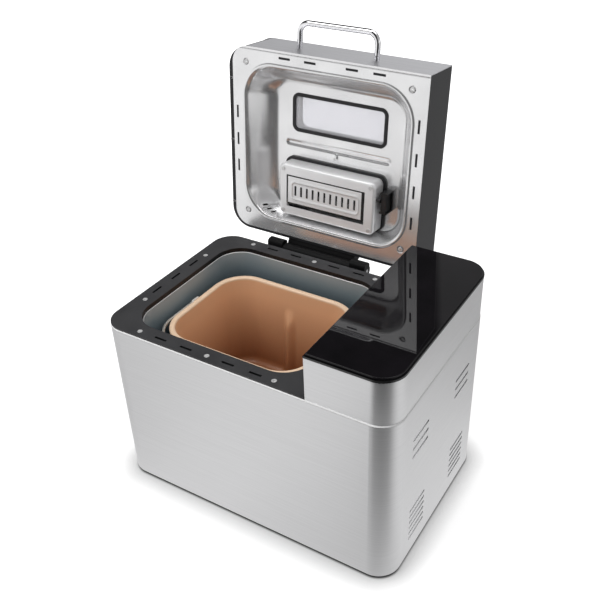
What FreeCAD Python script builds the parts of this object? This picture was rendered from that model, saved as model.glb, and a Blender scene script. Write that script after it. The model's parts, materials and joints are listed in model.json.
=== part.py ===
import FreeCAD, Part
import math
import os
import Sketcher

# A bread machine: a steel housing with a baking chamber on the left, a control block on the right
# and a hinged lid. X runs to the right, Y to the back and Z up from the table, in millimetres.
# Every piece is drawn with the lid shut and the housing centred on the origin. The lid's pieces are
# then swung open about the hinge pin, and the whole is moved so that the origin is under its middle.

SIZES = {
    # Housing
    "body_width": 400.0,
    "body_depth": 260.0,
    "corner_radius": 29.0,
    "wrap_height": 233.5,
    "wrap_sheet": 1.0,
    "steel_edge_round": 0.8,
    "slip_gap": 0.3,
    # Base
    "foot_height": 4.0,
    "foot_radius": 11.0,
    "foot_plug_radius": 4.4,
    "foot_barb_radius": 5.5,
    "foot_barb_height": 1.5,
    "foot_inset_x": 35.0,
    "foot_inset_y": 32.0,
    "base_floor": 3.0,
    "base_skirt_height": 17.0,
    "base_skirt_wall": 2.5,
    # Fasteners
    "screw_radius": 2.0,
    "screw_head_radius": 3.2,
    "screw_head_height": 2.5,
    "screw_grip": 10.0,
    "screw_gap": 0.15,
    "back_screw_height": 10.0,
    "back_screw_inset": 50.0,
    # Cord gland
    "gland_inset_x": 50.0,
    "gland_height": 38.0,
    "gland_radius": 8.0,
    "gland_flange_radius": 11.0,
    "gland_flange_depth": 3.0,
    "gland_reach": 10.0,
    "gland_bore_radius": 4.0,
    # Vents in the right side
    "vent_length": 41.0,
    "vent_width": 4.0,
    "vent_round": 1.8,
    "vent_sink": 2.0,
    "vent_back_wall": 1.0,
    "vent_slit": 1.2,
    "vent_spread": 118.0,
    "vent_low_height": 25.0,
    "vent_low_pitch": 9.3,
    "vent_high_height": 158.0,
    "vent_high_pitch": 12.4,
    # Control block
    "panel_width": 107.2,
    "panel_height": 58.5,
    "panel_ledge": 0.5,
    "panel_wall": 2.5,
    "panel_skirt": 15.5,
    "panel_deck": 3.0,
    "bezel_inset": 0.3,
    "bezel_height": 2.5,
    "bezel_band": 14.0,
    "glass_inset": 2.0,
    "glass_sheet": 3.0,
    "glass_edge_round": 0.8,
    "display_width": 60.0,
    "display_depth": 90.0,
    "display_gap": 0.3,
    "board_width": 84.0,
    "board_depth": 160.0,
    "board_sheet": 1.6,
    "board_drop": 7.4,
    "board_post_radius": 4.0,
    "board_post_inset": 7.0,
    "board_socket_height": 9.0,
    # Baking chamber and its surround
    "oven_shift": 1.6,
    "cavity_side_room": 7.3,
    "cavity_front_room": 13.0,
    "cavity_corner": 34.5,
    "cavity_sheet": 1.0,
    "lip_gap": 1.5,
    "lip_drop": 2.5,
    "lip_wall": 2.5,
    "surround_rise": 4.0,
    "surround_inset": 0.5,
    "surround_skirt": 15.0,
    "surround_skirt_wall": 2.0,
    "surround_boss_radius": 4.6,
    "surround_screw_edge_y": 10.0,
    "surround_screw_left": 100.3,
    "surround_screw_right": 92.7,
    "surround_screw_pitch_y": 126.0,
    "trim_shift": 7.3,
    "slot_length": 17.0,
    "slot_width": 3.0,
    "slot_edge": 9.5,
    "slot_shift_x": 1.4,
    "slot_near_x": 30.0,
    "slot_far_x": 68.0,
    "slot_pitch_y": 38.0,
    # Heating
    "heater_radius": 3.25,
    "heater_wall_gap": 12.0,
    "heater_corner": 26.0,
    "heater_height": 22.0,
    "heater_tail_half": 12.0,
    "heater_tail_bend": 10.0,
    "heater_tail": 6.0,
    "heater_gap": 0.4,
    "clip_width": 10.0,
    "clip_height": 14.0,
    "clip_gap": 0.1,
    "sensor_radius": 4.0,
    "sensor_body_radius": 8.0,
    "sensor_body": 7.0,
    "sensor_reach": 12.0,
    "sensor_y": 45.0,
    "sensor_height": 90.0,
    "shield_gap": 9.0,
    "shield_sheet": 1.0,
    "shield_half_width": 110.0,
    "shield_foot": 15.0,
    "shield_top_gap": 20.0,
    "power_board_width": 120.0,
    "power_board_height": 80.0,
    "power_board_lift": 113.0,
    "power_board_standoff": 5.5,
    "power_part_height": 20.0,
    # Drive
    "drive_space": 50.0,
    "bridge_sheet": 2.0,
    "bridge_half_x": 45.0,
    "bridge_leg_gap": 18.0,
    "bridge_foot": 15.0,
    "shaft_radius": 4.0,
    "running_gap": 0.05,
    "bearing_radius": 10.0,
    "bearing_flange_radius": 17.0,
    "bearing_flange": 3.0,
    "bearing_low": 8.0,
    "bearing_rise": 1.5,
    "pulley_radius": 55.0,
    "pulley_low": 9.0,
    "pulley_flange": 2.0,
    "pulley_flange_rise": 4.0,
    "pulley_hub_radius": 11.0,
    "pulley_web": 4.0,
    "pulley_rim": 6.0,
    "belt_width": 10.0,
    "belt_thick": 2.0,
    "belt_gap": 0.3,
    "motor_inset": 60.0,
    "motor_radius": 40.0,
    "motor_height": 62.0,
    "motor_boss_radius": 12.0,
    "motor_boss": 4.0,
    "motor_lift": 33.0,
    "motor_pulley_radius": 12.0,
    "motor_bracket_half_x": 42.0,
    "motor_bracket_half_y": 56.0,
    "motor_screw_circle": 28.0,
    "coupling_radius": 16.0,
    "coupling_disc": 4.0,
    "coupling_lug": 8.0,
    "coupling_lug_inner": 9.0,
    "coupling_lug_outer": 14.5,
    "coupling_lug_half": 5.0,
    "coupling_gap": 0.5,
    "socket_radius": 48.0,
    "socket_height": 14.0,
    "socket_flange": 3.0,
    "socket_bore_radius": 42.0,
    "socket_eye_radius": 22.0,
    "socket_screw_circle": 31.0,
    # Pan
    "pan_base_gap": 0.5,
    "pan_base_wall": 4.5,
    "pan_base_height": 15.0,
    "pan_height": 135.5,
    "pan_top_width": 197.0,
    "pan_top_depth": 159.0,
    "pan_bottom_width": 179.0,
    "pan_bottom_depth": 141.0,
    "pan_top_corner": 39.0,
    "pan_bottom_corner": 32.0,
    "pan_wall": 1.6,
    "pan_floor": 2.0,
    "rim_width": 6.0,
    "rim_height": 10.0,
    "rim_round": 3.0,
    "rib_offset": -7.0,
    "rib_radius": 3.7,
    "rib_top_radius": 2.0,
    "rib_top_gap": 30.0,
    "bush_radius": 8.0,
    "bush_flange_radius": 13.0,
    "bush_flange": 3.0,
    "bush_top": 1.0,
    "wing_length": 25.0,
    "wing_width": 7.0,
    "wing_height": 5.0,
    "wing_lift": 1.0,
    "paddle_hub_radius": 9.0,
    "paddle_hub_height": 30.0,
    "paddle_floor_gap": 1.5,
    "paddle_blade_length": 46.0,
    "paddle_blade_height": 22.0,
    "paddle_blade_thick": 4.0,
    "paddle_blade_round": 1.8,
    "paddle_cap": 3.0,
    "ear_thick": 2.5,
    "ear_half_width": 8.0,
    "ear_round": 4.0,
    "ear_drop": 4.5,
    "ear_low": 8.0,
    "ear_high": 6.0,
    "bail_radius": 2.0,
    "bail_hole_gap": 0.2,
    "bail_side_gap": 2.5,
    "bail_front_gap": 3.5,
    "bail_corner": 44.0,
    "bail_bend": 2.8,
    # Hinge
    "hinge_setback": 10.5,
    "hinge_drop": 2.25,
    "hinge_radius": 8.5,
    "hinge_pin_radius": 3.0,
    "hinge_length": 155.0,
    "hinge_knuckle": 24.0,
    "hinge_crown_half": 7.0,
    "hinge_crown_height": 12.2,
    "hinge_crown_round": 5.0,
    "hinge_end_gap": 0.5,
    "hinge_plate": 1.5,
    "hinge_plate_low": 32.0,
    "hinge_leaf_low": 3.0,
    "hinge_leaf_high": 22.0,
    "hinge_leaf_thick": 5.0,
    "hinge_leaf_reach": 6.8,
    "hinge_screw_drop": 24.5,
    "hinge_screw_inset": 12.0,
    "lid_open_angle": 95.2,
    # Lid
    "lid_gap": 0.5,
    "lid_thickness": 64.0,
    "lid_inset": 0.5,
    "lid_side_gap": 3.0,
    "lid_back_gap": 3.0,
    "lid_wall": 2.5,
    "lid_ledge": 2.5,
    "lid_cover_sheet": 1.0,
    "liner_sheet": 1.0,
    "liner_inset": 6.0,
    "liner_back_inset": 4.0,
    "flange_left": 27.0,
    "flange_right": 21.8,
    "flange_front": 22.5,
    "flange_back": 26.0,
    "recess_corner": 42.0,
    "recess_deep": 36.0,
    "recess_slope_left": 20.5,
    "recess_slope_right": 16.0,
    "recess_slope_front": 17.0,
    "recess_slope_back": 2.5,
    "recess_floor_corner": 30.0,
    "recess_clear": 6.0,
    "liner_screw_left": 27.5,
    "liner_screw_right": 21.8,
    "liner_screw_front": 20.0,
    "liner_screw_back": 27.5,
    "liner_boss_radius": 6.0,
    "liner_boss_height": 13.0,
    "liner_slot_left_edge": 12.5,
    "liner_slot_right_edge": 9.8,
    "liner_slot_right_pitch": 42.0,
    # Window
    "window_left_room": 31.0,
    "window_right_room": 30.0,
    "window_front_room": 20.0,
    "window_depth": 53.0,
    "window_corner": 10.0,
    "gasket_wall": 4.5,
    "gasket_drop": 1.0,
    "window_sheet": 3.0,
    "window_margin": 6.0,
    "tunnel_wall": 3.0,
    # Handle
    "handle_radius": 3.75,
    "handle_half": 55.8,
    "handle_reach": 32.5,
    "handle_rise": 30.5,
    "handle_bend": 13.0,
    "handle_screw_depth": 12.0,
    # Dispenser
    "dispenser_left_room": 26.0,
    "dispenser_right_room": 30.0,
    "dispenser_back_room": 2.0,
    "dispenser_depth_y": 74.0,
    "dispenser_corner": 8.0,
    "dispenser_drop": 26.0,
    "dispenser_sheet": 1.2,
    "dispenser_round": 4.0,
    "dispenser_post_radius": 2.8,
    "dispenser_screw_radius": 1.5,
    "dispenser_screw_head": 2.6,
    "dispenser_screw_head_height": 1.2,
    "dispenser_screw_grip": 8.0,
    "seal_margin": 4.0,
    "seal_back_margin": 1.5,
    "seal_thick": 3.0,
    "flap_left_border": 13.0,
    "flap_right_border": 16.0,
    "flap_front_border": 15.3,
    "flap_back_border": 17.2,
    "flap_side_gap": 1.2,
    "flap_front_gap": 1.0,
    "flap_back_gap": 3.8,
    "flap_corner": 2.0,
    "flap_knuckle_radius": 2.4,
    "flap_knuckle_sink": 0.2,
    "flap_axis_inset": 0.7,
    "flap_pin_radius": 1.0,
    "flap_lug_width": 3.0,
    "flap_lug_gap": 0.5,
    "flap_slot_length": 14.0,
    "flap_slot_width": 3.0,
    "flap_slot_margin": 13.4,
    "catch_inset": 4.0,
    "catch_thick": 2.0,
    "catch_half": 5.0,
    "catch_height": 10.0,
    "catch_from_front": 8.5,
    "bolt_radius": 2.5,
    "bolt_lift": 5.5,
    "bolt_gap": 0.4,
    "bolt_clear": 1.0,
    "latch_travel": 5.0,
    "latch_block_width": 7.0,
    "latch_block_depth": 24.0,
    "latch_block_height": 15.0,
    "latch_bolt_from_front": 8.0,
    "latch_guide_wall": 2.0,
    "latch_guide_gap": 0.4,
    "latch_guide_plate": 3.0,
    "latch_wall_gap": 0.6,
}

VENTS_LOW = 6
VENTS_HIGH = 3
FLAP_SLOTS = 11
LEFT_SLOTS = (-1, 0, 1)
RIGHT_SLOTS = (-1.5, -0.5, 0.5, 1.5)
NEAR = 0.001

doc = FreeCAD.newDocument("bread_machine")
sheet = doc.addObject("Spreadsheet::Sheet", "sizes")
for row, (alias, value) in enumerate(SIZES.items(), 1):
    sheet.set(f"A{row}", alias)
    sheet.set(f"B{row}", str(value))
    sheet.setAlias(f"B{row}", alias)
doc.recompute()


class Size:
    """A length that knows its value and the sheet formula that gives it."""

    def __init__(self, value, text):
        self.value = value
        self.text = text

    @staticmethod
    def of(other):
        if isinstance(other, Size):
            return other
        return Size(float(other), repr(float(other)))

    def join(self, other, sign, value):
        return Size(value, f"({self.text} {sign} {Size.of(other).text})")

    def __add__(self, other):
        return self.join(other, "+", self.value + Size.of(other).value)

    def __sub__(self, other):
        return self.join(other, "-", self.value - Size.of(other).value)

    def __mul__(self, other):
        return self.join(other, "*", self.value * Size.of(other).value)

    def __truediv__(self, other):
        return self.join(other, "/", self.value / Size.of(other).value)

    def __neg__(self):
        return Size(0.0, "0.0") - self


class SheetSizes:
    """The sheet's cells, each as a Size under its own name."""

    def __init__(self):
        for alias in SIZES:
            setattr(self, alias, Size(float(sheet.get(alias)), f"sizes.{alias}"))


d = SheetSizes()

# Places that several pieces share
left = -d.body_width / 2
right = d.body_width / 2
front = -d.body_depth / 2
back = d.body_depth / 2
base_low = d.foot_height
floor_top = base_low + d.base_floor
steel_top = base_low + d.wrap_height
inner_gap = d.wrap_sheet + d.slip_gap
surround_top = steel_top + d.surround_rise
panel_left = right - d.panel_width
panel_x = right - d.panel_width / 2
panel_top = steel_top + d.panel_height
deck_low = panel_top - d.panel_deck
bezel_top = panel_top + d.bezel_height
board_top = deck_low - d.board_drop
board_low = board_top - d.board_sheet
oven_x = (left + panel_left) / 2 + d.oven_shift
trim_x = oven_x + d.trim_shift
rim_half_x = d.pan_top_width / 2 + d.rim_width
rim_half_y = d.pan_top_depth / 2 + d.rim_width
bail_half_x = rim_half_x + d.ear_thick + d.bail_side_gap
bail_reach_y = rim_half_y + d.bail_front_gap + d.bail_radius
cavity_half_x = bail_half_x + d.bail_radius + d.cavity_side_room
cavity_half_y = bail_reach_y + d.bail_radius + d.cavity_front_room
mouth_left = oven_x - cavity_half_x - d.lip_gap
border_x = (left + d.surround_inset + mouth_left) / 2
cavity_top = steel_top - d.lip_drop
cavity_right = oven_x + cavity_half_x + d.cavity_sheet
bridge_low = floor_top + d.drive_space
bridge_top = bridge_low + d.bridge_sheet
cavity_floor = bridge_top + d.cavity_sheet
heater_z = cavity_floor + d.heater_height
shield_x = cavity_right + d.shield_gap
socket_seat = cavity_floor + d.socket_flange
motor_x = right - d.motor_inset
motor_low = floor_top + d.motor_lift
belt_low = floor_top + d.pulley_low + d.pulley_flange
belt_top = belt_low + d.belt_width
coupling_low = cavity_floor + d.bearing_rise + d.coupling_gap
coupling_top = coupling_low + d.coupling_disc
pan_floor_low = socket_seat + d.pan_base_height
pan_floor_top = pan_floor_low + d.pan_floor
pan_top = pan_floor_low + d.pan_height
bail_z = pan_top - d.ear_drop
hinge_y = back + d.hinge_setback
hinge_z = steel_top - d.hinge_drop
hinge_left = oven_x - d.hinge_length / 2
hinge_right = oven_x + d.hinge_length / 2
lid_low = surround_top + d.lid_gap
lid_top = lid_low + d.lid_thickness
lid_left = left + d.lid_inset
lid_right = panel_left - d.lid_side_gap
lid_front = front + d.lid_inset
lid_back = back - d.lid_back_gap
frame_front = lid_front + d.lid_cover_sheet
frame_low = lid_low + d.liner_sheet
cover_low = lid_top - d.lid_cover_sheet
recess_left = lid_left + d.flange_left
recess_right = lid_right - d.flange_right
recess_front = lid_front + d.flange_front
recess_back = lid_back - d.flange_back
recess_y = (recess_front + recess_back) / 2
recess_low = lid_low + d.recess_deep
recess_high = recess_low + d.liner_sheet
floor_left = recess_left + d.recess_slope_left
floor_right = recess_right - d.recess_slope_right
floor_front = recess_front + d.recess_slope_front
floor_back = recess_back - d.recess_slope_back
window_left = floor_left + d.window_left_room
window_right = floor_right - d.window_right_room
window_x = (window_left + window_right) / 2
window_half_x = (window_right - window_left) / 2
window_y = floor_front + d.window_front_room + d.window_depth / 2
glass_top = recess_high + d.window_sheet
outer_glass_low = cover_low - d.window_sheet
handle_z = lid_low + d.handle_rise
dispenser_left = floor_left + d.dispenser_left_room
dispenser_right = floor_right - d.dispenser_right_room
dispenser_back = floor_back - d.dispenser_back_room
dispenser_front = dispenser_back - d.dispenser_depth_y
dispenser_x = (dispenser_left + dispenser_right) / 2
dispenser_y = (dispenser_front + dispenser_back) / 2
dispenser_half_x = (dispenser_right - dispenser_left) / 2
dispenser_half_y = d.dispenser_depth_y / 2
dispenser_low = recess_low - d.dispenser_drop
dispenser_plate = dispenser_low + d.dispenser_sheet
flap_left = dispenser_left + d.flap_left_border
flap_right = dispenser_right - d.flap_right_border
flap_front = dispenser_front + d.flap_front_border
flap_back = dispenser_back - d.flap_back_border
flap_axis_y = flap_back - d.flap_axis_inset
flap_axis_z = dispenser_plate + d.flap_knuckle_radius - d.flap_knuckle_sink
catch_right = flap_right - d.catch_inset
bolt_y = flap_front + d.catch_from_front
bolt_z = dispenser_plate + d.bolt_lift
bolt_tip = catch_right + d.bolt_clear
latch_left = dispenser_right + d.latch_wall_gap + d.latch_travel
latch_right = latch_left + d.latch_block_width
latch_front = bolt_y - d.latch_bolt_from_front
latch_back = latch_front + d.latch_block_depth
latch_top = recess_low - d.latch_guide_plate - d.latch_guide_gap


def bind(thing, name, size):
    """Tie one property to the sheet."""
    thing.setExpression(name, Size.of(size).text)


def new_body(label):
    body = doc.addObject("PartDesign::Body", label)
    body.Label = label
    return body


def new_sketch(body, plane, level, along=None):
    """Sketch on the XY, XZ or YZ plane, at that height, depth or width."""
    planes = {feature.Role: feature for feature in body.Origin.OriginFeatures}
    sketch = body.newObject("Sketcher::SketchObject", "outline")
    sketch.AttachmentSupport = [(planes[plane + "_Plane"], "")]
    sketch.MapMode = "FlatFace"
    level = Size.of(level)
    bind(sketch, "AttachmentOffset.Base.z", -level if plane == "XZ" else level)
    if along is not None:
        bind(sketch, "AttachmentOffset.Base.x", along)
    return sketch


def slab(body, plane, low, high):
    """Pad between two levels; the sketch that comes back gets its outline."""
    sketch = new_sketch(body, plane, high if plane == "XZ" else low)
    feature = body.newObject("PartDesign::Pad", "pad")
    feature.Profile = sketch
    bind(feature, "Length", Size.of(high) - low)
    return sketch


def cut(body, plane, low, high):
    """Pocket between two levels; the sketch that comes back gets its outline."""
    sketch = new_sketch(body, plane, low if plane == "XZ" else high)
    feature = body.newObject("PartDesign::Pocket", "pocket")
    feature.Profile = sketch
    bind(feature, "Length", Size.of(high) - low)
    return sketch


def turned(body, x, y):
    """Revolution about the upright line at x, y; its sketch is a half section of radius and height."""
    sketch = new_sketch(body, "XZ", y, along=x)
    feature = body.newObject("PartDesign::Revolution", "revolution")
    feature.Profile = sketch
    feature.ReferenceAxis = (sketch, ["V_Axis"])
    feature.Angle = 360.0
    return sketch


def lofted(body, kind, low, high):
    """Straight-sided loft between two levels; both sketches come back."""
    first = new_sketch(body, "XY", low)
    second = new_sketch(body, "XY", high)
    feature = body.newObject("PartDesign::" + kind, "loft")
    feature.Profile = first
    feature.Sections = [second]
    feature.Ruled = True
    return first, second


def row_of(body, count, pitch, axis):
    """Repeat the body's last feature along an origin axis."""
    axes = {feature.Role: feature for feature in body.Origin.OriginFeatures}
    original = body.Tip
    pattern = body.newObject("PartDesign::LinearPattern", "row")
    pattern.Originals = [original]
    pattern.Direction = (axes[axis], [""])
    pattern.Mode = "Spacing"
    bind(pattern, "Offset", pitch)
    pattern.Occurrences = count
    body.Tip = pattern


def round_edges(body, radius, wanted):
    """Fillet the edges of the body's last feature that the test picks."""
    doc.recompute()
    tip = body.Tip
    names = [f"Edge{number}" for number, edge in enumerate(tip.Shape.Edges, 1) if wanted(edge)]
    feature = body.newObject("PartDesign::Fillet", "fillet")
    feature.Base = (tip, names)
    bind(feature, "Radius", radius)


def is_level(edge, level):
    """Whether an edge lies flat at a height."""
    return edge.BoundBox.ZLength < NEAR and abs(edge.BoundBox.ZMin - level.value) < NEAR


def on_outline(edge, x, half_x, half_y, corner):
    """Whether an edge runs along a round-cornered outline centred at x and the XZ plane."""
    spot = edge.valueAt((edge.FirstParameter + edge.LastParameter) / 2)
    past_x = max(abs(spot.x - x.value) - (half_x - corner).value, 0)
    past_y = max(abs(spot.y) - (half_y - corner).value, 0)
    return abs(math.hypot(past_x, past_y) - corner.value) < NEAR


def apply_rules(sketch, rules):
    """Add constraints; a rule is its arguments and the size that it holds, if any."""
    built = []
    for arguments, size in rules:
        values = () if size is None else (Size.of(size).value,)
        built.append(Sketcher.Constraint(*arguments, *values))
    for number, (arguments, size) in zip(sketch.addConstraint(built), rules):
        if size is not None:
            bind(sketch, f"Constraints[{number}]", size)


def place_rules(shape, point, x, y):
    return [(("DistanceX", -1, 1, shape, point), x), (("DistanceY", -1, 1, shape, point), y)]


def draw_circle(sketch, x, y, radius):
    centre = FreeCAD.Vector(Size.of(x).value, Size.of(y).value, 0)
    circle = Part.Circle(centre, FreeCAD.Vector(0, 0, 1), Size.of(radius).value)
    shape = sketch.addGeometry(circle, False)
    apply_rules(sketch, place_rules(shape, 3, x, y) + [(("Radius", shape), radius)])


def draw_circles(sketch, places, radius):
    for x, y in places:
        draw_circle(sketch, x, y, radius)


def corner_arc(before, corner, after, radius):
    """Tangent points and arc of a rounded corner, and whether the outline turns left there."""
    arriving = (before - corner).normalize()
    leaving = (after - corner).normalize()
    half = arriving.getAngle(leaving) / 2
    start = corner + arriving * (radius / math.tan(half))
    end = corner + leaving * (radius / math.tan(half))
    centre = corner + (arriving + leaving).normalize() * (radius / math.sin(half))
    turns_left = leaving.cross(arriving).z > 0
    first, last = (start, end) if turns_left else (end, start)
    angles = [math.atan2(point.y - centre.y, point.x - centre.x) for point in (first, last)]
    circle = Part.Circle(centre, FreeCAD.Vector(0, 0, 1), radius)
    return start, end, Part.ArcOfCircle(circle, angles[0], angles[1]), turns_left


def draw_path(sketch, corners, closed):
    """Straight runs through corners (x, y) or (x, y, radius), with tangent arcs at the round ones."""
    points = [FreeCAD.Vector(Size.of(c[0]).value, Size.of(c[1]).value, 0) for c in corners]
    count = len(corners)
    starts = list(points)
    ends = list(points)
    arcs = {}
    for i, corner in enumerate(corners):
        if len(corner) == 3:
            after = points[(i + 1) % count]
            arc = corner_arc(points[i - 1], points[i], after, Size.of(corner[2]).value)
            ends[i], starts[i] = arc[0], arc[1]
            arcs[i] = (sketch.addGeometry(arc[2], False), arc[3])
    runs = count if closed else count - 1
    lines = []
    for i in range(runs):
        line = Part.LineSegment(starts[i], ends[(i + 1) % count])
        lines.append(sketch.addGeometry(line, False))
    rules = []
    for i, corner in enumerate(corners):
        arrives = lines[i - 1] if closed or i > 0 else None
        leaves = lines[i] if i < runs else None
        if i in arcs:
            arc, turns_left = arcs[i]
            mark = sketch.addGeometry(Part.Point(points[i]), True)
            rules.append((("Tangent", arrives, 2, arc, 1 if turns_left else 2), None))
            rules.append((("Tangent", arc, 2 if turns_left else 1, leaves, 1), None))
            rules.append((("Radius", arc), corner[2]))
            rules.append((("PointOnObject", mark, 1, arrives), None))
            rules.append((("PointOnObject", mark, 1, leaves), None))
            rules += place_rules(mark, 1, corner[0], corner[1])
        elif leaves is None:
            rules += place_rules(arrives, 2, corner[0], corner[1])
        else:
            if arrives is not None:
                rules.append((("Coincident", arrives, 2, leaves, 1), None))
            rules += place_rules(leaves, 1, corner[0], corner[1])
    apply_rules(sketch, rules)


def draw_outline(sketch, *corners):
    draw_path(sketch, corners, True)


def draw_box(sketch, x0, x1, y0, y1, radius=None):
    rounding = () if radius is None else (radius,)
    corners = ((x0, y0), (x1, y0), (x1, y1), (x0, y1))
    draw_outline(sketch, *[corner + rounding for corner in corners])


def draw_middle(sketch, x, y, half_x, half_y, radius=None):
    draw_box(sketch, x - half_x, x + half_x, y - half_y, y + half_y, radius)


def housing_outline(sketch, inset):
    """The housing's plan, drawn in by an inset all round."""
    draw_box(sketch, left + inset, right - inset, front + inset, back - inset, d.corner_radius - inset)


def panel_outline(sketch, inset, edge):
    """The control block's plan: square on the lid's side, round on the other."""
    radius = d.corner_radius - inset
    draw_outline(
        sketch,
        (edge, front + inset),
        (right - inset, front + inset, radius),
        (right - inset, back - inset, radius),
        (edge, back - inset),
    )


def lid_outline(sketch, x0, x1, y0, y1, radius):
    """The lid's plan: round on the left, square beside the control block."""
    draw_outline(sketch, (x0, y0, radius), (x1, y0), (x1, y1), (x0, y1, radius))


def pipe(body, plane, level, corners, radius, profile_plane, profile_level, centre):
    """Round rod along a path of straight runs and tangent arcs, from a circle at its first end."""
    path = new_sketch(body, plane, level)
    draw_path(path, corners, False)
    profile = new_sketch(body, profile_plane, profile_level)
    draw_circle(profile, centre[0], centre[1], radius)
    feature = body.newObject("PartDesign::AdditivePipe", "pipe")
    feature.Profile = profile
    arcs = sum(1 for corner in corners if len(corner) == 3)
    edges = len(corners) - 1 + arcs
    feature.Spine = (path, [f"Edge{number}" for number in range(1, edges + 1)])
    return feature


def screws(body, plane, seat, places, sign, grip, radius, head, head_height):
    """Heads on one side of a seat and shanks on the other; sign is the side of the heads."""
    heads = (seat, seat + head_height) if sign > 0 else (seat - head_height, seat)
    shanks = (seat - grip, seat) if sign > 0 else (seat, seat + grip)
    draw_circles(slab(body, plane, *heads), places, head)
    draw_circles(slab(body, plane, *shanks), places, radius)


def four(x, y, half_x, half_y):
    return [(x + half_x * i, y + half_y * j) for i in (-1, 1) for j in (-1, 1)]


hole_radius = d.screw_radius + d.screw_gap
foot_places = four(Size.of(0), Size.of(0), right - d.foot_inset_x, back - d.foot_inset_y)
back_screw_z = base_low + d.back_screw_height
back_screw_places = [
    (x, back_screw_z)
    for x in (left + d.back_screw_inset, oven_x, right - d.back_screw_inset)
]
hinge_screw_z = steel_top - d.hinge_screw_drop
hinge_screw_places = [
    (x, hinge_screw_z)
    for x in (hinge_left + d.hinge_screw_inset, hinge_right - d.hinge_screw_inset)
]
gland_x = right - d.gland_inset_x
surround_screw_y = back - d.surround_screw_edge_y
surround_screw_places = [
    (x, surround_screw_y * side)
    for x in (trim_x - d.surround_screw_left, trim_x, trim_x + d.surround_screw_right)
    for side in (-1, 1)
] + [(border_x, d.surround_screw_pitch_y / 2 * side) for side in (-1, 1)]
socket_screw_places = [
    (oven_x + d.socket_screw_circle * math.cos(turn), d.socket_screw_circle * math.sin(turn))
    for turn in (math.pi / 2, math.pi * 7 / 6, math.pi * 11 / 6)
]
motor_screw_places = four(motor_x, Size.of(0), d.motor_screw_circle, d.motor_screw_circle / 2)
liner_screw_places = [
    (x, y)
    for x in (lid_left + d.liner_screw_left, lid_right - d.liner_screw_right)
    for y in (lid_front + d.liner_screw_front, lid_back - d.liner_screw_back)
]
hopper_half_x = dispenser_half_x - d.dispenser_round
hopper_half_y = dispenser_half_y - d.dispenser_round
dispenser_post_x = hopper_half_x - d.dispenser_post_radius
dispenser_post_y = hopper_half_y - d.dispenser_post_radius
dispenser_screw_places = four(dispenser_x, dispenser_y, dispenser_post_x, dispenser_post_y)
board_post_places = four(
    panel_x,
    Size.of(0),
    d.board_width / 2 - d.board_post_inset,
    d.board_depth / 2 - d.board_post_inset,
)
slot_places_x = [trim_x + reach * side for reach in (d.slot_near_x, d.slot_far_x) for side in (-1, 1)]


def slots_along(sketch, y):
    """Short slots along a front or back edge."""
    for x in slot_places_x:
        draw_middle(sketch, x, y, d.slot_length / 2, d.slot_width / 2)


def slots_down(sketch, x, middle, pitch, steps):
    """Short slots down a left or right edge."""
    for step in steps:
        draw_middle(sketch, x, middle + pitch * step, d.slot_width / 2, d.slot_length / 2)


def base_tray(body):
    housing_outline(slab(body, "XY", base_low, floor_top + d.base_skirt_height), inner_gap)
    hollow = cut(body, "XY", floor_top, floor_top + d.base_skirt_height)
    housing_outline(hollow, inner_gap + d.base_skirt_wall)
    draw_circles(cut(body, "XY", base_low, floor_top), foot_places, d.foot_plug_radius + d.screw_gap)
    draw_circles(cut(body, "XZ", back - inner_gap - d.base_skirt_wall, back), back_screw_places, hole_radius)


def rubber_feet(body):
    draw_circles(slab(body, "XY", 0, base_low), foot_places, d.foot_radius)
    draw_circles(slab(body, "XY", base_low, floor_top), foot_places, d.foot_plug_radius)
    barb = slab(body, "XY", floor_top, floor_top + d.foot_barb_height)
    draw_circles(barb, foot_places, d.foot_barb_radius)


def pressed_vents(body, middle, heights):
    """Shallow troughs pressed into the right wall, each with a slit along its top."""
    skin = right - d.wrap_sheet
    floor = right - d.vent_sink
    rim = d.vent_back_wall
    half_y, half_z = d.vent_length / 2, d.vent_width / 2
    behind = slab(body, "YZ", floor - rim, skin)
    troughs = cut(body, "YZ", floor, right)
    slits = cut(body, "YZ", floor - rim, floor)
    for height in heights:
        draw_middle(behind, middle, height, half_y + rim, half_z + rim, d.vent_round + rim)
        draw_middle(troughs, middle, height, half_y, half_z, d.vent_round)
        top = height + half_z
        draw_box(slits, middle - half_y + half_z, middle + half_y - half_z, top - d.vent_slit, top)


def housing_wrap(body):
    """Steel sheet round the four sides, with a rounded top edge and pressed vents on the right."""
    housing_outline(slab(body, "XY", base_low, steel_top), Size.of(0))
    housing_outline(cut(body, "XY", base_low, steel_top), d.wrap_sheet)
    round_edges(
        body,
        d.steel_edge_round,
        lambda edge: is_level(edge, steel_top)
        and on_outline(edge, Size.of(0), right, back, d.corner_radius),
    )
    wall = back - d.wrap_sheet
    draw_circles(cut(body, "XZ", wall, back), back_screw_places + hinge_screw_places, hole_radius)
    draw_circle(cut(body, "XZ", wall, back), gland_x, d.gland_height, d.gland_radius + d.screw_gap)
    low_rows = [base_low + d.vent_low_height + d.vent_low_pitch * step for step in range(VENTS_LOW)]
    high_rows = [base_low + d.vent_high_height + d.vent_high_pitch * step for step in range(VENTS_HIGH)]
    for side in (-1, 1):
        for heights in (low_rows, high_rows):
            pressed_vents(body, d.vent_spread / 2 * side, heights)


def back_screws(body):
    sizes = (d.screw_grip, d.screw_radius, d.screw_head_radius, d.screw_head_height)
    screws(body, "XZ", back, back_screw_places, 1, *sizes)
    screws(body, "XZ", back + d.hinge_plate, hinge_screw_places, 1, *sizes)


def cord_gland(body):
    inner = back - d.wrap_sheet - d.gland_reach
    draw_circle(slab(body, "XZ", inner, back), gland_x, d.gland_height, d.gland_radius)
    flange = slab(body, "XZ", back, back + d.gland_flange_depth)
    draw_circle(flange, gland_x, d.gland_height, d.gland_flange_radius)
    bore = cut(body, "XZ", inner, back + d.gland_flange_depth)
    draw_circle(bore, gland_x, d.gland_height, d.gland_bore_radius)


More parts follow.
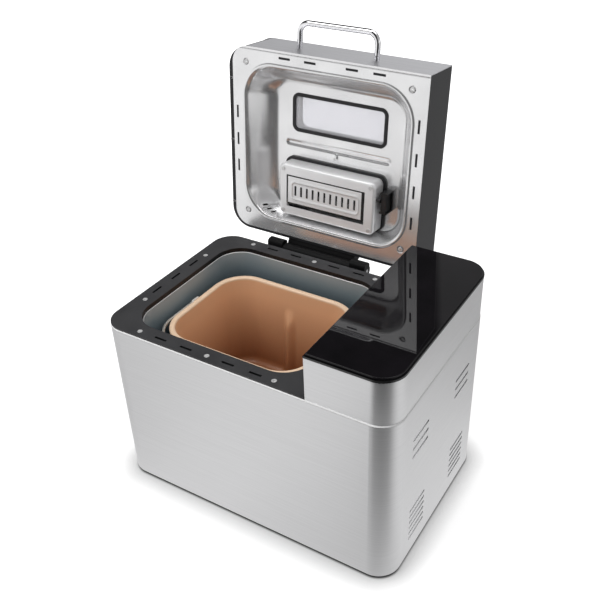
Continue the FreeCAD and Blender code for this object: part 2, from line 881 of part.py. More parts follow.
def panel_collar(body):
    low = steel_top + d.panel_ledge
    panel_outline(slab(body, "XY", low, panel_top), Size.of(0), panel_left)
    panel_outline(cut(body, "XY", low, panel_top), d.wrap_sheet, panel_left - d.wrap_sheet)
    round_edges(
        body,
        d.steel_edge_round,
        lambda edge: is_level(edge, panel_top)
        and on_outline(edge, panel_left, d.panel_width, back, d.corner_radius),
    )


def panel_chassis(body):
    skirt_low = steel_top - d.panel_skirt
    panel_outline(slab(body, "XY", skirt_low, panel_top), inner_gap, panel_left)
    ledge = slab(body, "XY", steel_top, steel_top + d.panel_ledge)
    panel_outline(ledge, d.bezel_inset, panel_left)
    hollow = cut(body, "XY", skirt_low, deck_low)
    panel_outline(hollow, inner_gap + d.panel_wall, panel_left + d.panel_wall)
    opening = cut(body, "XY", deck_low, panel_top)
    half_x = d.display_width / 2 + d.panel_ledge
    draw_middle(opening, panel_x, Size.of(0), half_x, d.display_depth / 2 + d.panel_ledge)
    draw_circles(slab(body, "XY", board_top, deck_low), board_post_places, d.board_post_radius)


def panel_bezel(body):
    panel_outline(slab(body, "XY", panel_top, bezel_top), d.bezel_inset, panel_left)
    inset = d.bezel_inset + d.bezel_band
    panel_outline(cut(body, "XY", panel_top, bezel_top), inset, panel_left + d.bezel_band)


def control_glass(body):
    plate = slab(body, "XY", bezel_top, bezel_top + d.glass_sheet)
    panel_outline(plate, d.glass_inset, panel_left + d.glass_inset)
    round_edges(body, d.glass_edge_round, lambda edge: is_level(edge, bezel_top + d.glass_sheet))


def display_module(body):
    box = slab(body, "XY", board_top, bezel_top - d.display_gap)
    draw_middle(box, panel_x, Size.of(0), d.display_width / 2, d.display_depth / 2)


def control_board(body):
    plate = slab(body, "XY", board_low, board_top)
    draw_middle(plate, panel_x, Size.of(0), d.board_width / 2, d.board_depth / 2)
    sockets = slab(body, "XY", board_low - d.board_socket_height, board_low)
    for side in (-1, 1):
        draw_middle(sockets, panel_x, d.board_depth / 4 * side, d.board_width / 8, d.board_width / 6)


def power_board(body):
    low = floor_top + d.power_board_lift
    face = shield_x + d.shield_sheet + d.power_board_standoff
    top = face + d.board_sheet
    plate = slab(body, "YZ", face, top)
    half = d.power_board_width / 2
    draw_box(plate, -half, half, low, low + d.power_board_height)
    tall = slab(body, "YZ", top, top + d.power_part_height)
    middle = low + d.power_board_height / 2
    draw_middle(tall, -half / 2, middle, d.power_board_width / 8, d.power_board_height / 5)
    draw_circle(tall, half / 2, middle, d.power_board_height / 6)
    short = slab(body, "YZ", top, top + d.power_part_height / 2)
    draw_middle(short, Size.of(0), middle, d.power_board_width / 16, d.power_board_height / 4)


def heat_shield(body):
    top = cavity_top - d.shield_top_gap
    half = d.shield_half_width
    plate = slab(body, "YZ", shield_x, shield_x + d.shield_sheet)
    draw_box(plate, -half, half, floor_top, top)
    foot = slab(body, "XY", floor_top, floor_top + d.shield_sheet)
    draw_box(foot, shield_x + d.shield_sheet - d.shield_foot, shield_x + d.shield_sheet, -half, half)
    window = cut(body, "YZ", shield_x, shield_x + d.shield_sheet)
    gap = d.pulley_radius + d.pulley_flange_rise
    draw_box(window, -gap, gap, floor_top + d.shield_sheet, belt_top + d.pulley_flange_rise * 2)
    low = floor_top + d.power_board_lift
    post_x = d.power_board_width / 2 - d.board_post_inset
    post_z = d.power_board_height / 2 - d.board_post_inset
    posts = slab(body, "YZ", shield_x + d.shield_sheet, shield_x + d.shield_sheet + d.power_board_standoff)
    places = four(Size.of(0), low + d.power_board_height / 2, post_x, post_z)
    draw_circles(posts, places, d.board_post_radius)


def top_surround(body):
    edge = panel_left - d.slip_gap
    inset = d.surround_inset
    plate = slab(body, "XY", steel_top, surround_top)
    x0, y0, y1 = left + inset, front + inset, back - inset
    lid_outline(plate, x0, edge, y0, y1, d.corner_radius - inset)
    skirt = slab(body, "XY", steel_top - d.surround_skirt, steel_top)
    x0, y0, y1 = left + inner_gap, front + inner_gap, back - inner_gap
    radius = d.corner_radius - inner_gap
    lid_outline(skirt, x0, edge, y0, y1, radius)
    wall = d.surround_skirt_wall
    hollow = cut(body, "XY", steel_top - d.surround_skirt, steel_top)
    lid_outline(hollow, x0 + wall, edge - wall, y0 + wall, y1 - wall, radius - wall)
    half_x = cavity_half_x + d.lip_gap
    half_y = cavity_half_y + d.lip_gap
    corner = d.cavity_corner + d.lip_gap
    lip = slab(body, "XY", cavity_top, steel_top)
    draw_middle(lip, oven_x, Size.of(0), half_x + d.lip_wall, half_y + d.lip_wall, corner + d.lip_wall)
    draw_circles(slab(body, "XY", cavity_top, steel_top), surround_screw_places, d.surround_boss_radius)
    draw_middle(cut(body, "XY", cavity_top, surround_top), oven_x, Size.of(0), half_x, half_y, corner)
    holes = cut(body, "XY", cavity_top, surround_top)
    draw_circles(holes, surround_screw_places, hole_radius)
    seats = cut(body, "XY", surround_top - d.screw_head_height, surround_top)
    draw_circles(seats, surround_screw_places, d.screw_head_radius + d.screw_gap)
    slots = cut(body, "XY", steel_top, surround_top)
    slots_along(slots, front + d.slot_edge)
    slots_along(slots, back - d.slot_edge)
    slots_down(slots, border_x - d.slot_shift_x, Size.of(0), d.slot_pitch_y, LEFT_SLOTS)


def surround_screws(body):
    seat = surround_top - d.screw_head_height
    sizes = (d.screw_radius, d.screw_head_radius, d.screw_head_height)
    screws(body, "XY", seat, surround_screw_places, 1, d.screw_grip, *sizes)


def oven_cavity(body):
    sheet_wall = d.cavity_sheet
    half_x, half_y, corner = cavity_half_x, cavity_half_y, d.cavity_corner
    shell = slab(body, "XY", bridge_top, cavity_top)
    draw_middle(shell, oven_x, Size.of(0), half_x + sheet_wall, half_y + sheet_wall, corner + sheet_wall)
    flange = slab(body, "XY", cavity_top - sheet_wall, cavity_top)
    inset = inner_gap + d.surround_skirt_wall + d.slip_gap
    edge = panel_left - d.slip_gap * 2 - d.surround_skirt_wall
    lid_outline(flange, left + inset, edge, front + inset, back - inset, d.corner_radius - inset)
    hollow = cut(body, "XY", cavity_floor, cavity_top)
    draw_middle(hollow, oven_x, Size.of(0), half_x, half_y, corner)
    floor = cut(body, "XY", bridge_top, cavity_floor)
    draw_circle(floor, oven_x, Size.of(0), d.bearing_radius + d.screw_gap)
    draw_circles(floor, socket_screw_places, hole_radius)
    rim = cut(body, "XY", cavity_top - sheet_wall, cavity_top)
    draw_circles(rim, surround_screw_places, hole_radius)
    wall = cut(body, "YZ", cavity_right - sheet_wall, cavity_right)
    for side in (-1, 1):
        draw_circle(wall, d.heater_tail_half * side, heater_z, d.heater_radius + d.heater_gap)
    draw_circle(wall, d.sensor_y, cavity_floor + d.sensor_height, d.sensor_radius + d.screw_gap)


def heating_element(body):
    """One tube round the pan, both ends led out through the right wall."""
    half_x = cavity_half_x - d.heater_wall_gap
    half_y = cavity_half_y - d.heater_wall_gap
    tail = d.heater_tail_half
    end = cavity_right + d.heater_tail
    corner, bend = d.heater_corner, d.heater_tail_bend
    path = [
        (end, -tail),
        (oven_x + half_x, -tail, bend),
        (oven_x + half_x, -half_y, corner),
        (oven_x - half_x, -half_y, corner),
        (oven_x - half_x, half_y, corner),
        (oven_x + half_x, half_y, corner),
        (oven_x + half_x, tail, bend),
        (end, tail),
    ]
    pipe(body, "XY", heater_z, path, d.heater_radius, "YZ", end, (-tail, heater_z))


def heater_clips(body):
    """Blocks that hold the tube off the front, back and left walls."""
    half = d.clip_width / 2
    low, high = heater_z - d.clip_height / 2, heater_z + d.clip_height / 2
    reach = d.heater_wall_gap + d.heater_radius * 2
    blocks = slab(body, "XY", low, high)
    draw_box(blocks, oven_x - half, oven_x + half, -cavity_half_y, reach - cavity_half_y)
    draw_box(blocks, oven_x - half, oven_x + half, cavity_half_y - reach, cavity_half_y)
    left_wall = oven_x - cavity_half_x
    draw_box(blocks, left_wall, left_wall + reach, -half, half)
    bore = d.heater_radius + d.clip_gap
    across = cut(body, "YZ", oven_x - half, oven_x + half)
    for side in (-1, 1):
        draw_circle(across, (cavity_half_y - d.heater_wall_gap) * side, heater_z, bore)
    draw_circle(cut(body, "XZ", -half, half), left_wall + d.heater_wall_gap, heater_z, bore)


def temperature_sensor(body):
    z = cavity_floor + d.sensor_height
    probe = slab(body, "YZ", cavity_right - d.sensor_reach, cavity_right)
    draw_circle(probe, d.sensor_y, z, d.sensor_radius)
    head = slab(body, "YZ", cavity_right, cavity_right + d.sensor_body)
    draw_circle(head, d.sensor_y, z, d.sensor_body_radius)


def pan_socket(body):
    ring = turned(body, oven_x, 0)
    draw_outline(
        ring,
        (d.socket_eye_radius, cavity_floor),
        (d.socket_radius, cavity_floor),
        (d.socket_radius, cavity_floor + d.socket_height),
        (d.socket_bore_radius, cavity_floor + d.socket_height),
        (d.socket_bore_radius, socket_seat),
        (d.socket_eye_radius, socket_seat),
    )
    draw_circles(cut(body, "XY", cavity_floor, socket_seat), socket_screw_places, hole_radius)


def leg_frame(body, x, half_x, half_y, low, high, wall):
    """Bent sheet: a flat top on two side walls with feet turned outwards."""
    foot = d.bridge_foot
    profile = slab(body, "YZ", x - half_x, x + half_x)
    draw_outline(
        profile,
        (-half_y - foot, low),
        (-half_y + wall, low),
        (-half_y + wall, high - wall),
        (half_y - wall, high - wall),
        (half_y - wall, low),
        (half_y + foot, low),
        (half_y + foot, low + wall),
        (half_y, low + wall),
        (half_y, high),
        (-half_y, high),
        (-half_y, low + wall),
        (-half_y - foot, low + wall),
    )


def chassis_bridge(body):
    half_y = d.pulley_radius + d.bridge_leg_gap
    leg_frame(body, oven_x, d.bridge_half_x, half_y, floor_top, bridge_top, d.bridge_sheet)
    holes = cut(body, "XY", bridge_low, bridge_top)
    draw_circle(holes, oven_x, Size.of(0), d.bearing_radius + d.screw_gap)
    draw_circles(holes, socket_screw_places, hole_radius)


def drive_bearing(body):
    bore = d.shaft_radius + d.running_gap
    section = turned(body, oven_x, 0)
    low = bridge_low - d.bearing_flange - d.bearing_low
    draw_outline(
        section,
        (bore, low),
        (d.bearing_radius, low),
        (d.bearing_radius, bridge_low - d.bearing_flange),
        (d.bearing_flange_radius, bridge_low - d.bearing_flange),
        (d.bearing_flange_radius, bridge_low),
        (d.bearing_radius, bridge_low),
        (d.bearing_radius, cavity_floor + d.bearing_rise),
        (bore, cavity_floor + d.bearing_rise),
    )


def drive_shaft(body):
    draw_circle(slab(body, "XY", belt_low, coupling_top), oven_x, Size.of(0), d.shaft_radius)


def drive_coupling(body):
    bore = d.shaft_radius + d.running_gap
    disc = slab(body, "XY", coupling_low, coupling_top)
    draw_circle(disc, oven_x, Size.of(0), d.coupling_radius)
    draw_circle(disc, oven_x, Size.of(0), bore)
    lugs = slab(body, "XY", coupling_top, coupling_top + d.coupling_lug)
    half = d.coupling_lug_half
    draw_box(lugs, oven_x + d.coupling_lug_inner, oven_x + d.coupling_lug_outer, -half, half)
    draw_box(lugs, oven_x - d.coupling_lug_outer, oven_x - d.coupling_lug_inner, -half, half)


def pulley(body, x, radius, bore):
    """Belt pulley with a flange above and below the belt."""
    rise, flange = d.pulley_flange_rise, d.pulley_flange
    low, high = belt_low - flange, belt_top + flange
    outline = [
        (bore, low),
        (radius + rise, low),
        (radius + rise, low + flange),
        (radius, low + flange),
        (radius, high - flange),
        (radius + rise, high - flange),
        (radius + rise, high),
        (bore, high),
    ]
    draw_outline(turned(body, x, 0), *outline)


def drive_pulley(body):
    pulley(body, oven_x, d.pulley_radius, d.shaft_radius + d.running_gap)
    web_low = (belt_low + belt_top - d.pulley_web) / 2
    upper = (web_low + d.pulley_web, belt_top + d.pulley_flange)
    lower = (belt_low - d.pulley_flange, web_low)
    for low, high in (upper, lower):
        dish = cut(body, "XY", low, high)
        draw_circle(dish, oven_x, Size.of(0), d.pulley_radius - d.pulley_rim)
        draw_circle(dish, oven_x, Size.of(0), d.pulley_hub_radius)


def motor_pulley(body):
    pulley(body, motor_x, d.motor_pulley_radius, d.shaft_radius + d.running_gap)


def motor_shaft(body):
    top = motor_low + d.motor_boss + d.motor_height + d.motor_boss
    draw_circle(slab(body, "XY", belt_low - d.pulley_flange, top), motor_x, Size.of(0), d.shaft_radius)


def motor_body(body):
    bore = d.shaft_radius + d.running_gap
    low = motor_low
    can_low = low + d.motor_boss
    section = turned(body, motor_x, 0)
    draw_outline(
        section,
        (bore, low),
        (d.motor_boss_radius, low),
        (d.motor_boss_radius, can_low),
        (d.motor_radius, can_low),
        (d.motor_radius, can_low + d.motor_height),
        (bore, can_low + d.motor_height),
    )
    holes = cut(body, "XY", can_low, can_low + d.screw_grip)
    draw_circles(holes, motor_screw_places, hole_radius)


def motor_bracket(body):
    top = motor_low + d.motor_boss
    half_x, half_y = d.motor_bracket_half_x, d.motor_bracket_half_y
    leg_frame(body, motor_x, half_x, half_y, floor_top, top, d.bridge_sheet)
    holes = cut(body, "XY", top - d.bridge_sheet, top)
    draw_circle(holes, motor_x, Size.of(0), d.motor_boss_radius + d.slip_gap)
    draw_circles(holes, motor_screw_places, hole_radius)


def frame_screws(body):
    """Screws of one size that hold the pan socket from above and the motor from below."""
    sizes = (d.screw_grip, d.screw_radius, d.screw_head_radius, d.screw_head_height)
    screws(body, "XY", socket_seat, socket_screw_places, 1, *sizes)
    bracket_low = motor_low + d.motor_boss - d.bridge_sheet
    screws(body, "XY", bracket_low, motor_screw_places, -1, *sizes)


def draw_belt_line(sketch, grow):
    """Closed belt line: an arc round each pulley and the two straight runs that touch both."""
    big, small = d.pulley_radius + grow, d.motor_pulley_radius + grow
    lean = math.asin((big.value - small.value) / (motor_x.value - oven_x.value))
    touch = math.pi / 2 - lean
    arcs = []
    ends = []
    for x, radius, first, last in ((oven_x, big, touch, -touch), (motor_x, small, -touch, touch)):
        circle = Part.Circle(FreeCAD.Vector(x.value, 0, 0), FreeCAD.Vector(0, 0, 1), radius.value)
        arcs.append(Part.ArcOfCircle(circle, first, last))
        ends.append((circle.value(first), circle.value(last)))
    lines = [Part.LineSegment(ends[0][1], ends[1][0]), Part.LineSegment(ends[1][1], ends[0][0])]
    around, over, lower, upper = sketch.addGeometry(arcs + lines, False)
    rules = [
        (("Tangent", around, 2, lower, 1), None),
        (("Tangent", lower, 2, over, 1), None),
        (("Tangent", over, 2, upper, 1), None),
        (("Tangent", upper, 2, around, 1), None),
        (("Radius", around), big),
        (("Radius", over), small),
    ]
    apply_rules(sketch, rules + place_rules(around, 3, oven_x, 0) + place_rules(over, 3, motor_x, 0))


def drive_belt(body):
    loop = slab(body, "XY", belt_low + d.belt_gap, belt_top - d.belt_gap)
    draw_belt_line(loop, d.belt_gap + d.belt_thick)
    draw_belt_line(loop, d.belt_gap)


def bread_pan(body):
    """Tapered tub with a rounded rim, a hole for the bush and one upright rib inside the back wall."""
    wall = d.pan_wall
    low, high = lofted(body, "AdditiveLoft", pan_floor_low, pan_top)
    bottom = (d.pan_bottom_width / 2, d.pan_bottom_depth / 2, d.pan_bottom_corner)
    top = (d.pan_top_width / 2, d.pan_top_depth / 2, d.pan_top_corner)
    draw_middle(low, oven_x, Size.of(0), *bottom)
    draw_middle(high, oven_x, Size.of(0), *top)
    rim = slab(body, "XY", pan_top - d.rim_height, pan_top)
    rim_corner = d.pan_top_corner + d.rim_width
    draw_middle(rim, oven_x, Size.of(0), rim_half_x, rim_half_y, rim_corner)
    round_edges(
        body,
        d.rim_round,
        lambda edge: (is_level(edge, pan_top) or is_level(edge, pan_top - d.rim_height))
        and on_outline(edge, oven_x, rim_half_x, rim_half_y, rim_corner),
    )
    low, high = lofted(body, "SubtractiveLoft", pan_floor_top, pan_top)
    draw_middle(low, oven_x, Size.of(0), *[size - wall for size in bottom])
    draw_middle(high, oven_x, Size.of(0), *[size - wall for size in top])
    rib_rise = d.pan_height - d.rib_top_gap
    rib_lean = (top[1] - bottom[1]) * rib_rise / d.pan_height
    rib_y = bottom[1] - wall / 2 - d.rib_radius
    low, high = lofted(body, "AdditiveLoft", pan_floor_low, pan_floor_low + rib_rise)
    draw_circle(low, oven_x + d.rib_offset, rib_y, d.rib_radius)
    rib_top_y = rib_y + rib_lean + d.rib_radius - d.rib_top_radius
    draw_circle(high, oven_x + d.rib_offset, rib_top_y, d.rib_top_radius)
    hole = cut(body, "XY", pan_floor_low, pan_floor_top)
    draw_circle(hole, oven_x, Size.of(0), d.bush_radius + d.screw_gap)


def pan_base(body):
    outer = d.socket_bore_radius - d.pan_base_gap
    draw_outline(
        turned(body, oven_x, 0),
        (outer - d.pan_base_wall, socket_seat),
        (outer, socket_seat),
        (outer, pan_floor_low),
        (outer - d.pan_base_wall, pan_floor_low),
    )


def pan_bush(body):
    bore = d.shaft_radius + d.running_gap
    draw_outline(
        turned(body, oven_x, 0),
        (bore, pan_floor_low - d.bush_flange),
        (d.bush_flange_radius, pan_floor_low - d.bush_flange),
        (d.bush_flange_radius, pan_floor_low),
        (d.bush_radius, pan_floor_low),
        (d.bush_radius, pan_floor_top + d.bush_top),
        (bore, pan_floor_top + d.bush_top),
    )


wing_low = coupling_top + d.wing_lift
paddle_low = pan_floor_top + d.paddle_floor_gap
paddle_top = paddle_low + d.paddle_hub_height


def paddle_shaft(body):
    draw_circle(slab(body, "XY", wing_low, paddle_top - d.paddle_cap), oven_x, Size.of(0), d.shaft_radius)


def shaft_wing(body):
    bar = slab(body, "XY", wing_low, wing_low + d.wing_height)
    draw_middle(bar, oven_x, Size.of(0), d.wing_width / 2 + d.shaft_radius / 2, d.wing_length / 2)
    draw_circle(bar, oven_x, Size.of(0), d.shaft_radius + d.running_gap)


def kneading_paddle(body):
    draw_circle(slab(body, "XY", paddle_low, paddle_top), oven_x, Size.of(0), d.paddle_hub_radius)
    blade = slab(body, "XY", paddle_low, paddle_low + d.paddle_blade_height)
    half = d.paddle_blade_thick / 2
    draw_box(blade, oven_x, oven_x + d.paddle_blade_length, -half, half, d.paddle_blade_round)
    bore = cut(body, "XY", paddle_low, paddle_top - d.paddle_cap)
    draw_circle(bore, oven_x, Size.of(0), d.shaft_radius + d.running_gap)


def bail_ears(body):
    for side in (-1, 1):
        inner, outer = oven_x + rim_half_x * side, oven_x + (rim_half_x + d.ear_thick) * side
        span = (inner, outer) if side > 0 else (outer, inner)
        half = d.ear_half_width
        plate = slab(body, "YZ", *span)
        draw_box(plate, -half, half, bail_z - d.ear_low, bail_z + d.ear_high, d.ear_round)
        draw_circle(plate, Size.of(0), bail_z, d.bail_radius + d.bail_hole_gap)


def pan_bail(body):
    """Wire handle lying forward round the rim, its two ends turned in through the ears."""
    start = rim_half_x + d.bail_hole_gap
    side = bail_half_x
    reach = -bail_reach_y
    path = [
        (oven_x - start, Size.of(0)),
        (oven_x - side, Size.of(0), d.bail_bend),
        (oven_x - side, reach, d.bail_corner),
        (oven_x + side, reach, d.bail_corner),
        (oven_x + side, Size.of(0), d.bail_bend),
        (oven_x + start, Size.of(0)),
    ]
    pipe(body, "XY", bail_z, path, d.bail_radius, "YZ", oven_x - start, (Size.of(0), bail_z))


def hinge_base(body):
    """Plate on the back of the housing with a knuckle at each end."""
    outer = back + d.hinge_plate
    plate = slab(body, "XZ", back, outer)
    draw_box(plate, hinge_left, hinge_right, steel_top - d.hinge_plate_low, steel_top - d.hinge_plate)
    spans = (
        (hinge_left, hinge_left + d.hinge_knuckle),
        (hinge_right - d.hinge_knuckle, hinge_right),
    )
    for low, high in spans:
        draw_outline(
            slab(body, "YZ", low, high),
            (back, hinge_z - d.hinge_radius * 2),
            (outer, hinge_z - d.hinge_radius * 2),
            (hinge_y + d.hinge_radius / 2, hinge_z - d.hinge_radius / 2),
            (hinge_y, hinge_z),
            (back, steel_top - d.hinge_plate),
        )
        draw_circle(slab(body, "YZ", low, high), hinge_y, hinge_z, d.hinge_radius)
        crown = slab(body, "YZ", low, high)
        half, rise = d.hinge_crown_half, d.hinge_crown_height
        draw_box(crown, hinge_y - half, hinge_y + half, hinge_z, hinge_z + rise, d.hinge_crown_round)
    bore = cut(body, "YZ", hinge_left, hinge_right)
    draw_circle(bore, hinge_y, hinge_z, d.hinge_pin_radius + d.running_gap)
    draw_circles(cut(body, "XZ", back, outer), hinge_screw_places, hole_radius)


def hinge_pin(body):
    draw_circle(slab(body, "YZ", hinge_left, hinge_right), hinge_y, hinge_z, d.hinge_pin_radius)


def hinge_leaf(body):
    """Long middle knuckle with an arm up to the back of the lid."""
    low = hinge_left + d.hinge_knuckle + d.hinge_end_gap
    high = hinge_right - d.hinge_knuckle - d.hinge_end_gap
    draw_outline(
        slab(body, "YZ", low, high),
        (lid_back, lid_low + d.hinge_leaf_low),
        (hinge_y, hinge_z + d.hinge_radius / 2),
        (hinge_y + d.hinge_leaf_reach, hinge_z + d.hinge_radius / 2),
        (lid_back + d.hinge_leaf_thick, lid_low + d.hinge_leaf_high),
        (lid_back, lid_low + d.hinge_leaf_high),
    )
    draw_circle(slab(body, "YZ", low, high), hinge_y, hinge_z, d.hinge_radius)
    bore = cut(body, "YZ", low, high)
    draw_circle(bore, hinge_y, hinge_z, d.hinge_pin_radius + d.running_gap)


def recess_box(sketch, grow):
    """The recess's mouth, drawn out by a margin all round."""
    x0, x1, y0, y1 = recess_left - grow, recess_right + grow, recess_front - grow, recess_back + grow
    draw_box(sketch, x0, x1, y0, y1, d.recess_corner + grow)


def lid_frame(body):
    """Black ring of the lid: walls, a ledge for the liner and four screw posts."""
    radius = d.corner_radius
    ring = slab(body, "XY", frame_low, cover_low)
    lid_outline(ring, lid_left, lid_right, frame_front, lid_back, radius)
    wall = d.lid_wall
    ledge_top = frame_low + d.lid_ledge
    hollow = cut(body, "XY", ledge_top, cover_low)
    x0, x1, y0, y1 = lid_left + wall, lid_right - wall, frame_front + wall, lid_back - wall
    lid_outline(hollow, x0, x1, y0, y1, radius - wall)
    opening = cut(body, "XY", frame_low, ledge_top)
    recess_box(opening, d.recess_clear)
    posts = slab(body, "XY", ledge_top, frame_low + d.liner_boss_height)
    draw_circles(posts, liner_screw_places, d.liner_boss_radius)
    holes = cut(body, "XY", frame_low, frame_low + d.liner_boss_height)
    draw_circles(holes, liner_screw_places, hole_radius)
    legs = cut(body, "XZ", frame_front, frame_front + wall)
    draw_circles(legs, handle_places, hole_radius)


handle_places = [(oven_x + d.handle_half * side, handle_z) for side in (-1, 1)]


def lid_cover(body):
    """Steel sheet over the top, turned down over the straight part of the front."""
    top = slab(body, "XY", cover_low, lid_top)
    lid_outline(top, lid_left, lid_right, lid_front, lid_back, d.corner_radius)
    skirt = slab(body, "XZ", lid_front, frame_front)
    draw_box(skirt, lid_left + d.corner_radius, lid_right, frame_low, lid_top)
    hole = cut(body, "XY", cover_low, lid_top)
    half_x, half_y = window_half_x, d.window_depth / 2
    draw_middle(hole, window_x, window_y, half_x, half_y, d.window_corner)
    draw_circles(cut(body, "XZ", lid_front, frame_front), handle_places, hole_radius)


def lid_liner(body):
    """Pressed liner: a flat flange with slots and a sloping recess with a window in its floor."""
    wall = d.liner_sheet
    inset = d.liner_inset
    flange = slab(body, "XY", lid_low, frame_low)
    flange_back = lid_back - d.liner_back_inset
    lid_outline(flange, lid_left + inset, lid_right, lid_front, flange_back, d.corner_radius - inset)
    floor = (floor_left, floor_right, floor_front, floor_back)
    outer_floor = (floor_left - wall, floor_right + wall, floor_front - wall, floor_back + wall)
    low, high = lofted(body, "AdditiveLoft", lid_low, recess_high)
    recess_box(low, wall)
    draw_box(high, *outer_floor, d.recess_floor_corner + wall)
    low, high = lofted(body, "SubtractiveLoft", lid_low, recess_low)
    recess_box(low, Size.of(0))
    draw_box(high, *floor, d.recess_floor_corner)
    window = cut(body, "XY", recess_low, recess_high)
    half_x, half_y = window_half_x, d.window_depth / 2
    draw_middle(window, window_x, window_y, half_x, half_y, d.window_corner)
    seats = cut(body, "XY", lid_low, frame_low)
    draw_circles(seats, liner_screw_places, d.screw_head_radius + d.screw_gap)
    slots = cut(body, "XY", lid_low, frame_low)
    slots_along(slots, front + d.slot_edge)
    x = lid_left + d.liner_slot_left_edge
    slots_down(slots, x, recess_y, d.slot_pitch_y, LEFT_SLOTS)
    x = lid_right - d.liner_slot_right_edge
    slots_down(slots, x, recess_y, d.liner_slot_right_pitch, RIGHT_SLOTS)


def lid_screws(body):
    """Screws whose heads lie flush in the liner's flange."""
    heads = slab(body, "XY", lid_low, frame_low)
    draw_circles(heads, liner_screw_places, d.screw_head_radius)
    shanks = slab(body, "XY", frame_low, frame_low + d.screw_grip)
    draw_circles(shanks, liner_screw_places, d.screw_radius)


def window_gasket(body):
    ring = slab(body, "XY", recess_low - d.gasket_drop, recess_high)
    half_x, half_y = window_half_x - d.screw_gap, d.window_depth / 2 - d.screw_gap
    corner = d.window_corner - d.screw_gap
    draw_middle(ring, window_x, window_y, half_x, half_y, corner)
    wall = d.gasket_wall
    draw_middle(ring, window_x, window_y, half_x - wall, half_y - wall, corner - wall)


def window_pane(body, low, high):
    plate = slab(body, "XY", low, high)
    margin = d.window_margin
    half_x, half_y = window_half_x + margin, d.window_depth / 2 + margin
    draw_middle(plate, window_x, window_y, half_x, half_y, d.window_corner)


def inner_window(body):
    window_pane(body, recess_high, glass_top)


def outer_window(body):
    window_pane(body, outer_glass_low, cover_low)


def window_tunnel(body):
    window_pane(body, glass_top, outer_glass_low)
    bore = cut(body, "XY", glass_top, outer_glass_low)
    rim = d.window_margin - d.tunnel_wall
    half_x, half_y = window_half_x + rim, d.window_depth / 2 + rim
    draw_middle(bore, window_x, window_y, half_x, half_y, d.window_corner)


def lid_handle(body):
    """Bent rod standing out from the front strip, with a blind screw hole in each end."""
    reach = lid_front - d.handle_reach
    x0, x1 = oven_x - d.handle_half, oven_x + d.handle_half
    path = [
        (x0, lid_front),
        (x0, reach, d.handle_bend),
        (x1, reach, d.handle_bend),
        (x1, lid_front),
    ]
    pipe(body, "XY", handle_z, path, d.handle_radius, "XZ", lid_front, (x0, handle_z))
    holes = cut(body, "XZ", lid_front - d.handle_screw_depth, lid_front)
    draw_circles(holes, handle_places, hole_radius)


def handle_screws(body):
    seat = frame_front + d.lid_wall
    grip = d.lid_wall + d.lid_cover_sheet + d.screw_grip
    sizes = (d.screw_radius, d.screw_head_radius, d.screw_head_height)
    screws(body, "XZ", seat, handle_places, 1, grip, *sizes)


def dispenser_box(body):
    """Hopper walls inside the cover, with a screw post in each corner."""
    corner = d.dispenser_corner - d.dispenser_round
    y = dispenser_y
    shell = slab(body, "XY", dispenser_plate, recess_low)
    draw_middle(shell, dispenser_x, y, hopper_half_x, hopper_half_y, corner)
    wall = d.dispenser_sheet
    hollow = cut(body, "XY", dispenser_plate, recess_low)
    draw_middle(hollow, dispenser_x, y, hopper_half_x - wall, hopper_half_y - wall, corner - wall)
    posts = slab(body, "XY", dispenser_plate, recess_low)
    draw_circles(posts, dispenser_screw_places, d.dispenser_post_radius)
    holes = cut(body, "XY", dispenser_plate, dispenser_plate + d.dispenser_screw_grip)
    draw_circles(holes, dispenser_screw_places, d.dispenser_screw_radius + d.screw_gap)
    hopper_right = dispenser_x + hopper_half_x
    side = cut(body, "YZ", hopper_right - wall, hopper_right)
    draw_circle(side, bolt_y, bolt_z, d.bolt_radius + d.bolt_gap)


def dispenser_seal(body):
    """Black ring on the liner's floor round the foot of the cover."""
    ring = slab(body, "XY", recess_low - d.seal_thick, recess_low)
    margin, corner = d.seal_margin, d.dispenser_corner
    y0, y1 = dispenser_front - margin, dispenser_back + d.seal_back_margin
    draw_box(ring, dispenser_left - margin, dispenser_right + margin, y0, y1, corner + margin)
    inner = (dispenser_left, dispenser_right, dispenser_front, dispenser_back)
    draw_box(ring, *inner, corner)


flap_lug_spans = (
    (flap_left - d.flap_lug_gap - d.flap_lug_width, flap_left - d.flap_lug_gap),
    (flap_right + d.flap_lug_gap, flap_right + d.flap_lug_gap + d.flap_lug_width),
)


def dispenser_frame(body):
    """Deep-drawn cover with round edges, the flap's opening and two lugs for the flap's pin."""
    half_x, half_y, corner = dispenser_half_x, dispenser_half_y, d.dispenser_corner
    x, y, wall = dispenser_x, dispenser_y, d.dispenser_sheet
    draw_middle(slab(body, "XY", dispenser_low, recess_low), x, y, half_x, half_y, corner)
    round_edges(body, d.dispenser_round, lambda edge: is_level(edge, dispenser_low))
    hollow = cut(body, "XY", dispenser_plate, recess_low)
    draw_middle(hollow, x, y, half_x - wall, half_y - wall, corner - wall)
    round_edges(body, d.dispenser_round - wall, lambda edge: is_level(edge, dispenser_plate))
    opening = cut(body, "XY", dispenser_low, dispenser_plate)
    gap = d.flap_side_gap
    y0, y1 = flap_front - d.flap_front_gap, flap_back + d.flap_back_gap
    draw_box(opening, flap_left - gap, flap_right + gap, y0, y1)
    holes = cut(body, "XY", dispenser_low, dispenser_plate)
    draw_circles(holes, dispenser_screw_places, d.dispenser_screw_radius + d.screw_gap)
    side = cut(body, "YZ", dispenser_right - wall, dispenser_right)
    draw_circle(side, bolt_y, bolt_z, d.bolt_radius + d.bolt_gap)
    reach = d.flap_knuckle_radius * 2
    for low, high in flap_lug_spans:
        lug = slab(body, "YZ", low, high)
        draw_box(lug, flap_axis_y - reach, y1 + reach / 2, dispenser_plate, dispenser_plate + reach)
        draw_circle(lug, flap_axis_y, flap_axis_z, d.flap_pin_radius + d.running_gap)


